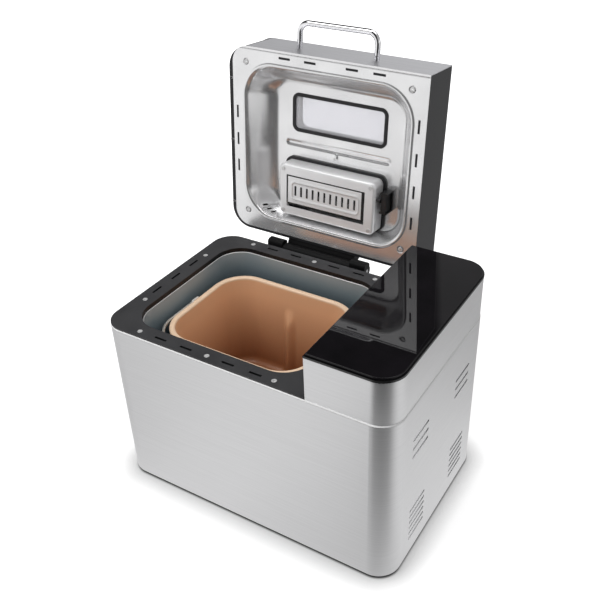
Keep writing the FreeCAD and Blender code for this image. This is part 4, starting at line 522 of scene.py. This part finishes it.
class BREAD_OT_pan(bpy.types.Operator):
    """Lift-out pan with its rolled rim and rib, its bail and its kneading paddle"""

    bl_idname = "bread.pan"
    bl_label = "Pan"

    def execute(self, context):
        # Painted shade: the pan's coat is painted darker toward its floor, where shade falls inside it.
        coat = nonstick_coating("nonstick_pan_sprayed", "#8c5836", context.scene.bread_colours.pan, rough=0.4,
                                low=0.09, high=0.2, lip="#f3d3b4", lip_at=0.2115)
        finish(coat, "bread_pan")
        # Painted shade: the paddle is painted darker toward its foot, deep in the pan.
        dark = nonstick_coating("nonstick_paddle_sprayed", "#77533a", "#8b6346", rough=0.4, low=0.08, high=0.12)
        finish(dark, "kneading_paddle")
        finish(satin_metal("steel_wire_drawn", "#c9c3ba", "#dbd5cc", rough=0.34, metallic=0.7), "pan_bail")
        finish(satin_metal("steel_ear_plated", "#efece6", "#faf8f4", rough=0.3, metallic=0.4), "bail_ears")
        foot = satin_metal("aluminium_foot_cast", "#8d8d8c", "#a9a9a8", rough=0.45, bump=0.08)
        finish(foot, "pan_base", "shaft_wing")
        finish(moulded_plastic("ptfe_bush_turned", "#26262a", "#303034", rough=0.4), "pan_bush")
        self.tub(coat, context.scene.bread_pan)
        return {"FINISHED"}

    def tub(self, coat, sizes):
        """Tub: round-cornered outlines that grow with height, carried round a profile from the hole for the
        shaft, under the floor, up the outside, over the rolled rim and down to the hole again. A hump across
        the back wall's inside is the rib."""
        low, floor, top = 0.078, 0.080, 0.2135
        hole, sheet = 0.0085, 0.0016
        rib_top, rib_fade, rib_foot = 0.186, 0.03, 0.004
        fillet = sizes.floor_round
        outer = np.concatenate((
            arc(-0.004, low + 0.004, 0.004, -90, 0, 6),  # round of the foot
            [(0, top - 0.010)],  # where the rim starts to roll out
            arc(0.0047, top - 0.0085, 0.0015, -90, 0, 5),  # under the roll
            arc(0.0031, top - 0.0011, 0.0031, 0, 90, 9),  # over the roll
        ))
        wall = np.linspace(top - 0.0026, floor + fillet, 40)[1:-1]
        inner = np.concatenate((
            arc(0.0014, top - 0.001, 0.003, 90, 180, 9),  # down into the pan
            np.stack((np.full(wall.shape, -sheet), wall), axis=-1),
            arc(-sheet - fillet, floor + fillet, fillet, 0, -90, 10),
        ))
        grow, z = np.concatenate((outer, inner)).T
        share = (z - low) / (top - low)
        # Half width, half depth and corner, at the foot and at the top.
        foot_and_top = ((0.0895, 0.0985), (0.0705, 0.0795), (0.032, 0.039))
        half_x, half_y, corner = (a + (b - a) * share + grow for a, b in foot_and_top)
        # Two rings by the hole keep the floor flat up to its edge.
        ring = np.array((hole, hole + 0.0008))
        half_x, half_y, corner = (np.concatenate((ring, size, ring[::-1])) for size in (half_x, half_y, corner))
        z = np.concatenate(([low, low], z, [floor, floor]))
        path = loops(half_x, half_y, corner, straight=90, bend=24)
        x, y = path[..., 0], path[..., 1]
        level = np.broadcast_to(z[:, None], x.shape)
        back_inside = (np.arange(len(z)) >= len(ring) + len(outer))[:, None] & (y > 0)
        fade = np.clip((rib_top - level) / rib_fade, 0, 1)
        fade = fade ** 2 * (3 - 2 * fade) * np.clip((level - floor) / rib_foot, 0, 1)
        rib = sizes.rib_depth * fade * hump(x - sizes.rib_place, sizes.rib_width)
        points = stand(x + PAN_X, y - np.where(back_inside, rib, 0), level)[None]
        piece = make_piece("pan_tub", points, None, coat, "pan", closed=(True, True))
        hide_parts("bread_pan")


class BREAD_OT_drive(bpy.types.Operator):
    """Motor, belt, pulleys and shafts under the oven"""

    bl_idname = "bread.drive"
    bl_label = "Drive"

    def execute(self, context):
        ground = satin_metal("steel_shaft_ground", "#a4a4a6", "#bcbcbe", rough=0.2)
        finish(ground, "drive_shaft", "motor_shaft", "paddle_shaft", "hinge_pin", "flap_pin")
        pulleys = satin_metal("aluminium_pulley_cast", "#939392", "#b0b0ae", rough=0.42, bump=0.06)
        finish(pulleys, "drive_pulley", "motor_pulley", "drive_coupling")
        finish(satin_metal("bronze_bearing_sintered", "#8a6a35", "#a5834a", rough=0.4), "drive_bearing")
        finish(moulded_plastic("rubber_belt_moulded", "#1b1b1b", "#232323", rough=0.7), "drive_belt")
        finish(satin_metal("steel_can_painted", "#7c7f82", "#929598", rough=0.4), "motor_body")
        return {"FINISHED"}


class BREAD_OT_black_trim(bpy.types.Operator):
    """Lid frame, hinge, base, feet, gland and seals in plastic and rubber"""

    bl_idname = "bread.black_trim"
    bl_label = "Black trim"

    def execute(self, context):
        finish(moulded_plastic("pbt_lid_frame_moulded", "#202022", "#28282b", rough=0.42, shine=0.3), "lid_frame")
        hinge = moulded_plastic("nylon_hinge_moulded", "#080809", "#0e0e0f", rough=0.55, shine=0.2)
        finish(hinge, "hinge_base", "hinge_leaf")
        finish(moulded_plastic("abs_base_moulded", "#202021", "#29292b", rough=0.5), "base_tray", "cord_gland")
        finish(moulded_plastic("pbt_tunnel_moulded", "#e2e2e6", "#ececf0", rough=0.5), "window_tunnel")
        finish(moulded_plastic("rubber_foot_moulded", "#1c1c1c", "#262626", rough=0.75), "rubber_feet")
        seals = moulded_plastic("silicone_seal_moulded", "#1b1b1d", "#242427", rough=0.5)
        finish(seals, "window_gasket", "dispenser_seal")
        return {"FINISHED"}


class BREAD_OT_fasteners(bpy.types.Operator):
    """Screws with cross recesses, and the chrome handle"""

    bl_idname = "bread.fasteners"
    bl_label = "Fasteners"

    def execute(self, context):
        bright = satin_metal("steel_screw_plated", "#d0d0d0", "#e4e4e4", rough=0.38, metallic=0.55)
        finish(bright, "back_screws", "surround_screws", "frame_screws", "lid_screws", "handle_screws",
               "dispenser_screws")
        finish(satin_metal("chrome_handle_polished", "#e6e6e8", "#f4f4f6", rough=0.08, bump=0.0), "lid_handle")
        surround_seat, liner_seat = 0.2414, 0.2427
        sides = [(x, y) for x in (-0.145, -0.0447, 0.048) for y in (-0.12, 0.12)]
        sides += [(-0.1859, y) for y in (-0.063, 0.063)]
        heads = screw_heads("surround_screw_heads", sides, bright, "housing", rise=0.0004,
                            turn_up=lambda x, y, z: stand(x, y, surround_seat + z))
        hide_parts("surround_screws")
        # The liner faces down with the lid shut, so its heads are turned over.
        corners = [(x, -y) for x, y in LINER_SCREWS]
        heads = screw_heads("liner_screw_heads", corners, bright, "lid", rise=0.0005,
                            turn_up=lambda x, y, z: swing_open(x, -y, liner_seat - z))
        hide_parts("lid_screws")
        return {"FINISHED"}


class BREAD_OT_dispenser(bpy.types.Operator):
    """Dispenser cover, flap and latch, and the two window panes"""

    bl_idname = "bread.dispenser"
    bl_label = "Dispenser and window"

    def execute(self, context):
        cover = satin_metal("stainless_cover_drawn", "#f2f2f3", "#fafafb", rough=0.36, metallic=0.38)
        finish(cover, "dispenser_frame")
        # Painted shade: the flap under the pressed face is painted black, so the border round the face and its slots
        # reads as the dark gap round the flap.
        finish(moulded_plastic("black_flap_painted_shade", "#161617", "#1e1e1f", rough=0.55), "dispenser_flap")
        finish(satin_metal("stainless_hopper_folded", "#a8a8aa", "#bcbcbe", rough=0.35), "dispenser_box")
        latch = moulded_plastic("nylon_latch_moulded", "#121213", "#1a1a1b", rough=0.4)
        finish(latch, "dispenser_latch", "latch_guide")
        finish(clear_glass("window_glass_hazed", "#f3f3f6", "#f7f7fa", clear=0.6), "inner_window")
        finish(clear_glass("window_glass_tempered", "#e6e6ea", "#ececf0", clear=1.0), "outer_window")
        self.flap_face(cover)
        return {"FINISHED"}

    def flap_face(self, cover):
        """Pressed face of the flap: a flat sheet over width and depth, raised in a rounded ring round the
        slots, which are left out of it, and turned down at its edge."""
        left, right, front, back, face = -0.1123, 0.0034, 0.0382, 0.0775, 0.2519
        middle, half_long, half_wide = 0.0582, 0.007, 0.0015
        ring_left, ring_right, ring_half, ring_corner = -0.1055, -0.0015, 0.0125, 0.005
        ring_height, ring_width, turn_down = 0.0009, 0.0026, 0.0008
        places = np.linspace(-0.0996, -0.0074, 11)
        xs = with_edges(steps((left, right, 0.0007)), np.stack((places - half_wide, places + half_wide)))
        ys = with_edges(steps((front, back, 0.0006)), (middle - half_long, middle + half_long))
        x, y = np.meshgrid(xs, ys)
        mid_x, mid_y = cell_middles(x, y)
        slot = np.abs(mid_x[..., None] - places).min(axis=-1) < half_wide
        keep = ~(slot & (np.abs(mid_y - middle) < half_long))
        ring = round_box(x, y, ring_left, ring_right, middle - ring_half, middle + ring_half, ring_corner)
        rim = np.minimum(np.minimum(x - left, right - x), np.minimum(y - front, back - y))
        z = face - ring_height * hump(ring, ring_width) + turn_down * (1 - np.clip(rim / turn_down, 0, 1)) ** 2
        points = swing_open(x, y, z)[None]
        make_piece("flap_face", points, keep[None], cover, "flap", flip=True)


class BREAD_OT_liner(bpy.types.Operator):
    """Pressed liner of the lid, with its recess, bead, groove, slots and window hole, and the lid's small trim"""

    bl_idname = "bread.liner"
    bl_label = "Lid liner"

    # Left, right, front, back and corner of the recess's mouth, and how each changes down to its floor.
    mouth = (-0.1725, 0.068, -0.107, 0.101, 0.042)
    shrink = (0.0205, -0.016, 0.017, -0.0025, -0.012)

    def execute(self, context):
        self.sheet(context.scene.bread_liner, context.scene.bread_colours.liner)
        self.steam_slots(context.scene.bread_liner)
        self.trim()
        return {"FINISHED"}

    def sheet(self, sizes, light):
        """Height field over width and depth; slots and window are left out."""
        left, right, front, back, corner, drawn_in = -0.1935, 0.0898, -0.1295, 0.123, 0.023, 0.06
        half = 0.0085
        slots = [(x - half, x + half, -0.122, -0.119) for x in (-0.1127, -0.0747, -0.0147, 0.0233)]
        slots += [(-0.1885, -0.1855, y - half, y + half) for y in (-0.041, -0.003, 0.035)]
        slots += [(0.0785, 0.0815, y - half, y + half) for y in (-0.066, -0.024, 0.018, 0.06)]
        window, window_corner = (-0.1213, 0.0223, -0.0703, -0.0167), 0.0103
        holes = np.array(slots + [window])
        xs = steps((left, -0.118, 0.0008), (-0.118, 0.02, 0.0015), (0.02, right, 0.0008))
        ys = steps((front, -0.055, 0.0008), (-0.055, 0.07, 0.0012), (0.07, 0.096, 0.0008), (0.096, 0.103, 0.0002),
                   (0.103, back, 0.0009))
        x, y = np.meshgrid(with_edges(xs, holes[:, :2]), with_edges(ys, holes[:, 2:]))
        mid_x, mid_y = cell_middles(x, y)
        keep = round_box(mid_x, mid_y, *window, window_corner) > 0
        for x0, x1, y0, y1 in slots:
            keep &= ~((mid_x > x0) & (mid_x < x1) & (mid_y > y0) & (mid_y < y1))
        # Near a round corner the columns are drawn in, so that the sheet's edge follows the arc.
        reach = np.maximum(np.maximum(front + corner - y, y - back + corner), 0)
        cut_in = corner - np.sqrt(np.maximum(corner ** 2 - reach ** 2, 0))
        x = x + cut_in * np.clip(1 - (x - left) / drawn_in, 0, 1)
        steel = satin_metal("stainless_liner_pressed", "#e8e8e9", light, rough=0.225, bump=0.004, metallic=0.78)
        points = swing_open(x, y, self.height(x, y, sizes))[None]
        piece = make_piece("liner_pressing", points, keep[None], steel, "lid", flip=True)
        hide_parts("lid_liner")

    def height(self, x, y, sizes):
        """How deep each point lies: the mouth's outline shrinks to the floor's as the recess deepens, so a
        bisection finds the share of the depth whose outline passes through the point, and blends round its ends.
        Humps make the bead outside the mouth, the groove across the floor and its tab, a line along the front
        edge and the dimples round the screws."""
        low, high = np.full(x.shape, -1.5), np.full(x.shape, 2.0)
        for _ in range(30):
            share = (low + high) / 2
            outline = [a + b * share for a, b in zip(self.mouth, self.shrink)]
            outline[4] = np.maximum(outline[4], 0.001)
            inside = round_box(x, y, *outline) < 0
            low, high = np.where(inside, share, low), np.where(inside, high, share)
        deep = soft_low(share * sizes.depth, np.full(x.shape, sizes.depth), sizes.floor_round)
        deep = -soft_low(-deep, np.zeros(x.shape), sizes.mouth_round)
        bead_out, bead_width = 0.0032, 0.003
        deep = deep - sizes.bead * hump(round_box(x, y, *self.mouth) - bead_out, bead_width)
        groove_left, groove_right, groove_width = -0.1265, 0.025, 0.006
        deep = deep + sizes.groove * hump(np.hypot(x - np.clip(x, groove_left, groove_right), y), groove_width)
        tab_x, tab_y, tab_height = -0.0518, 0.0095, 0.0018
        deep = deep - tab_height * hump(x - tab_x, 0.0035) * hump(y - tab_y, 0.006)
        line_y, line_depth = -0.1265, 0.0006
        deep = deep + line_depth * hump(y - line_y, 0.0009)
        dimple_radius, dimple_width, dimple_depth = 0.0038, 0.0014, 0.0005
        for screw_x, screw_y in LINER_SCREWS:
            deep = deep + dimple_depth * hump(np.hypot(x - screw_x, y - screw_y) - dimple_radius, dimple_width)
        return sizes.face + deep

    def steam_slots(self, sizes):
        """Three slanted slots in the recess's back wall by its left corner, drawn as painted shade: black strips that
        follow the wall's arc, whose place at a depth comes from the outline there."""
        # Painted shade: black strips laid on the wall stand for the dark inside of the slots.
        black = moulded_plastic("black_slot_painted_shade", "#0a0a0a", "#101010", rough=0.8)
        half_deep, slant, half_wide, proud = 0.0042, 0.002, 0.0011, 0.0003
        along, across = np.meshgrid(np.linspace(-1, 1, 9), np.linspace(-1, 1, 4), indexing="ij")
        deep = 0.0125 + half_deep * along
        outline = [a + b * deep / sizes.depth for a, b in zip(self.mouth, self.shrink)]
        left, back, radius = outline[0], outline[3], outline[4]
        strips = []
        for middle in (-0.1515, -0.1445, -0.1375):
            x = middle + slant * along + half_wide * across * np.sqrt(np.maximum(1.02 - along ** 2, 0.02))
            inward = np.maximum(left + radius - x, 0)
            y = back - radius + np.sqrt(radius ** 2 - inward ** 2) - proud
            strips.append(swing_open(x, y, sizes.face + deep))
        make_piece("steam_slots", np.stack(strips), None, black, "lid")

    def trim(self):
        """Small steel tabs folded over the frame's left edge: short round-cornered bars, one loop carried
        across the edge."""
        steel = satin_metal("stainless_tab_folded", "#c4c4c4", "#d8d8d8", rough=0.3)
        half_x, half_y, corner, edge_x = 0.0026, 0.0013, 0.0005, -0.1967
        z = np.array([0.2424, 0.2422, 0.2422, 0.2432])
        less = np.array([0.0001, 0.0003, 0.0, 0.0])
        path = loops(half_x - less, half_y - less, np.full((4, 1), corner), straight=4, bend=4)
        level = np.broadcast_to(z[:, None], path.shape[:2])
        tabs = [swing_open(path[..., 0] + edge_x, path[..., 1] + middle, level) for middle in (-0.085, 0.0, 0.092)]
        make_piece("edge_tabs", np.stack(tabs), None, steel, "lid", closed=(False, True))


class BREAD_OT_stage(bpy.types.Operator):
    """White floor, soft studio light and the camera"""

    bl_idname = "bread.stage"
    bl_label = "Stage"

    def execute(self, context):
        scene = context.scene
        scene.view_settings.view_transform = "Standard"
        self.floor(scene)
        self.world(scene)
        self.lamp(scene, "key_softbox", place=(-0.7, -0.8, 2.2), aim=(0.0, -0.05, 0.2), size=1.4, power=16.0)
        self.lamp(scene, "top_softbox", place=(0.4, 0.3, 2.4), aim=(0.0, 0.0, 0.2), size=1.6, power=14.0)
        self.camera(scene)
        return {"FINISHED"}

    def rays(self, tree):
        """Two shares of a ray: one for a ray from the camera, also through glass, and one for a mirrored ray."""
        path = add(tree, "LightPath")
        through = path.outputs["Is Transmission Ray"]
        seen = add(tree, "Math", {0: path.outputs["Is Camera Ray"], 1: through}, operation="MAXIMUM")
        mirrored = add(tree, "Math", {0: path.outputs["Is Glossy Ray"], 1: through}, operation="SUBTRACT",
                       use_clamp=True)
        return seen, mirrored

    def dark_side(self, tree, vector):
        """One where a direction points to the unlit end of the studio behind the camera, else zero: the cosine
        between them, from about 52 to 33 degrees off."""
        flat = add(tree, "VectorMath", {0: vector, 1: (1, 1, 0)}, operation="MULTIPLY")
        unit = add(tree, "VectorMath", {0: flat}, operation="NORMALIZE")
        toward = (math.sin(CAMERA_TURN), -math.cos(CAMERA_TURN), 0)
        facing = add(tree, "VectorMath", {0: unit, 1: toward}, operation="DOT_PRODUCT")
        return add(tree, "MapRange", {0: facing.outputs["Value"], 1: 0.62, 2: 0.84})

    def pool(self, tree, coords):
        """Pool of light on the floor in front of the housing, between places in metres: full in the middle, dimmer
        to both sides close by, and dimmer toward the back."""
        parts = add(tree, "SeparateXYZ", {0: coords})
        y = parts.outputs["Y"]
        across = add(tree, "Math", {0: parts.outputs["X"], 1: -0.1}, operation="SUBTRACT")
        aside = add(tree, "Math", {0: across}, operation="ABSOLUTE")
        ahead = add(tree, "MapRange", {0: y, 1: -0.55, 2: -0.35, 3: 1.0, 4: 0.72})
        close = add(tree, "MapRange", {0: y, 1: -0.22, 2: -0.1, 3: 0.0, 4: 0.23})
        edge = add(tree, "Math", {0: ahead, 1: close}, operation="ADD")
        middle = add(tree, "MapRange", {0: aside, 1: 0.05, 2: 0.28, 3: 1.0, 4: edge})
        back = add(tree, "MapRange", {0: y, 1: 0.12, 2: 0.38, 3: 1.0, 4: 0.56})
        return add(tree, "Math", {0: middle, 1: back}, operation="MULTIPLY")

    def past_edge(self, tree, coords):
        """How far a place on the floor lies outside the housing's outline, in metres: its distance from the
        outline's box without the round corners, less their radius."""
        box = (HOUSING_HALF_X - HOUSING_CORNER, HOUSING_HALF_Y - HOUSING_CORNER, 0)
        middle = add(tree, "VectorMath", {0: coords, 1: (0, HOUSING_Y, 0)}, operation="SUBTRACT")
        reach = add(tree, "VectorMath", {0: middle}, operation="ABSOLUTE")
        over = add(tree, "VectorMath", {0: reach, 1: box}, operation="SUBTRACT")
        past = add(tree, "VectorMath", {0: over, 1: (0, 0, 0)}, operation="MAXIMUM")
        far = add(tree, "VectorMath", {0: past}, operation="LENGTH").outputs["Value"]
        return add(tree, "Math", {0: far, 1: HOUSING_CORNER}, operation="SUBTRACT")

    def floor(self, scene):
        """Flat square sheet under the object; what is seen of it is lifted to white, but for the shadow. Metal
        sees it bright near the object and darker toward the unlit end."""
        side = np.linspace(-15, 15, 5)
        x, y = np.meshgrid(side, side)
        index = np.arange(x.size).reshape(x.shape)
        quads = np.stack((index[:-1, :-1], index[:-1, 1:], index[1:, 1:], index[1:, :-1]), axis=-1)
        mesh = bpy.data.meshes.new("studio_floor")
        mesh.from_pydata(np.stack((x, y, 0 * x), axis=-1).reshape(-1, 3), [], quads.reshape(-1, 4).tolist())
        material, tree, coords = start("paper_floor_white")
        seen, mirrored = self.rays(tree)
        # The contact shadow: dark under the edge, and the lift to white starts outside it.
        past = self.past_edge(tree, coords)
        under = add(tree, "MapRange", {0: past, 1: -0.0015, 2: 0.0015, 3: 0.2})
        outside = add(tree, "MapRange", {0: past, 1: -0.001, 2: 0.028})
        tone = add(tree, "VectorMath", {0: linear("#ededed")[:3], "Scale": under}, operation="SCALE")
        paper = add(tree, "BsdfDiffuse", {"Color": tone})
        # The lift grows with the distance from the shadow's middle, in front of the housing on the right.
        away = add(tree, "VectorMath", {0: coords, 1: (0.15, -0.2, 0)}, operation="SUBTRACT")
        far = add(tree, "VectorMath", {0: away}, operation="LENGTH").outputs["Value"]
        growth = add(tree, "MapRange", {0: far, 1: 0.4, 2: 1.6, 3: 0.45})
        lift = add(tree, "Math", {0: seen, 1: growth}, operation="MULTIPLY")
        clear = add(tree, "Math", {0: lift, 1: outside}, operation="MULTIPLY")
        glow = add(tree, "Emission", {"Strength": clear})
        plain = add(tree, "AddShader", {0: paper, 1: glow})
        # What metal sees of it.
        distant = add(tree, "MapRange", {0: far, 1: 0.1, 2: 0.4})
        unlit = add(tree, "Math", {0: self.dark_side(tree, away), 1: distant}, operation="MULTIPLY")
        light = add(tree, "MapRange", {0: unlit, 3: 0.97, 4: 0.04})
        lit = add(tree, "Math", {0: light, 1: self.pool(tree, coords)}, operation="MULTIPLY")
        image = add(tree, "Emission", {"Strength": lit})
        both = add(tree, "MixShader", {0: mirrored, 1: plain, 2: image})
        add(tree, "OutputMaterial", {"Surface": both})
        mesh.materials.append(material)
        floor = bpy.data.objects.new("studio_floor", mesh)
        scene.collection.objects.link(floor)

    def world(self, scene):
        """White surroundings; metal sees them white low down at the sides and dark overhead and behind the
        camera, as in a studio, with a pale panel behind on the right."""
        world = bpy.data.worlds.new("studio")
        scene.world = world
        world.use_nodes = True
        tree = world.node_tree
        tree.nodes.clear()
        seen, mirrored = self.rays(tree)
        white = (1, 1, 1, 1)
        direction = add(tree, "TexCoord").outputs["Generated"]
        parts = add(tree, "SeparateXYZ", {0: direction})
        low = add(tree, "MapRange", {0: parts.outputs["Z"], 1: 0.12, 2: 0.45, 3: 1.0, 4: 0.04})
        side = add(tree, "MapRange", {0: self.dark_side(tree, direction), 3: 1.0, 4: 0.04})
        ahead = add(tree, "Math", {0: low, 1: side}, operation="MULTIPLY")
        rightward = (math.cos(CAMERA_TURN), math.sin(CAMERA_TURN), 0)
        bearing = add(tree, "VectorMath", {0: direction, 1: rightward}, operation="DOT_PRODUCT")
        panel = add(tree, "MapRange", {0: bearing.outputs["Value"], 1: 0.135, 2: 0.145, 4: 0.4})
        studio = add(tree, "Math", {0: ahead, 1: panel}, operation="MAXIMUM")
        fill = add(tree, "MapRange", {0: seen, 3: 0.55, 4: 1.0})
        soft = add(tree, "Background", {"Color": white, "Strength": fill})
        image = add(tree, "Background", {"Color": white, "Strength": studio})
        both = add(tree, "MixShader", {0: mirrored, 1: soft, 2: image})
        add(tree, "OutputWorld", {"Surface": both})

    def lamp(self, scene, name, place, aim, size, power):
        """Round soft light at a place, turned to what it is aimed at."""
        light = bpy.data.lights.new(name, "AREA")
        light.shape = "DISK"
        light.size = size
        light.energy = power
        lamp = bpy.data.objects.new(name, light)
        direction = Vector(aim) - Vector(place)
        lamp.matrix_world = Matrix.Translation(place) @ direction.to_track_quat("-Z", "Y").to_matrix().to_4x4()
        scene.collection.objects.link(lamp)

    def camera(self, scene):
        """Camera at the place, turn, lift and roll fitted to the photograph."""
        lift = math.cos(CAMERA_LIFT)
        back = Vector((math.sin(CAMERA_TURN) * lift, -math.cos(CAMERA_TURN) * lift, math.sin(CAMERA_LIFT)))
        level = Vector((math.cos(CAMERA_TURN), math.sin(CAMERA_TURN), 0))
        up = back.cross(level)
        right = level * math.cos(CAMERA_ROLL) + up * math.sin(CAMERA_ROLL)
        upright = up * math.cos(CAMERA_ROLL) - level * math.sin(CAMERA_ROLL)
        data = bpy.data.cameras.new("camera")
        data.lens = CAMERA_LENS
        data.sensor_width = CAMERA_SENSOR
        data.shift_x = CAMERA_SHIFT_X
        data.shift_y = CAMERA_SHIFT_Y
        camera = bpy.data.objects.new("camera", data)
        spin = Matrix((right, upright, back)).transposed().to_4x4()
        camera.matrix_world = Matrix.Translation(CAMERA_PLACE) @ spin
        scene.collection.objects.link(camera)
        scene.camera = camera


class BREAD_PT_panel(bpy.types.Panel):
    """Sizes, colours and buttons that make each group"""

    bl_idname = "BREAD_PT_panel"
    bl_label = "Bread machine"
    bl_space_type = "VIEW_3D"
    bl_region_type = "UI"
    bl_category = "Bread machine"

    def draw(self, context):
        column = self.layout.column()
        for group in (context.scene.bread_liner, context.scene.bread_pan, context.scene.bread_colours):
            for name in group.__annotations__:
                column.prop(group, name)
        for operator in OPERATORS:
            column.operator(operator.bl_idname)


OPERATORS = (
    BREAD_OT_stage, BREAD_OT_steel_shell, BREAD_OT_control_block, BREAD_OT_oven, BREAD_OT_pan, BREAD_OT_drive,
    BREAD_OT_black_trim, BREAD_OT_fasteners, BREAD_OT_dispenser, BREAD_OT_liner,
)
GROUPS = (LinerSizes, PanSizes, FinishColours)


def register():
    for cls in GROUPS + OPERATORS + (BREAD_PT_panel,):
        bpy.utils.register_class(cls)
    bpy.types.Scene.bread_liner = bpy.props.PointerProperty(type=LinerSizes)
    bpy.types.Scene.bread_pan = bpy.props.PointerProperty(type=PanSizes)
    bpy.types.Scene.bread_colours = bpy.props.PointerProperty(type=FinishColours)


def unregister():
    del bpy.types.Scene.bread_liner
    del bpy.types.Scene.bread_pan
    del bpy.types.Scene.bread_colours
    for cls in reversed(GROUPS + OPERATORS + (BREAD_PT_panel,)):
        bpy.utils.unregister_class(cls)


def main():
    register()
    bpy.ops.bread.stage()
    bpy.ops.bread.steel_shell()
    bpy.ops.bread.control_block()
    bpy.ops.bread.oven()
    bpy.ops.bread.pan()
    bpy.ops.bread.drive()
    bpy.ops.bread.black_trim()
    bpy.ops.bread.fasteners()
    bpy.ops.bread.dispenser()
    bpy.ops.bread.liner()


if __name__ == "__main__":
    main()
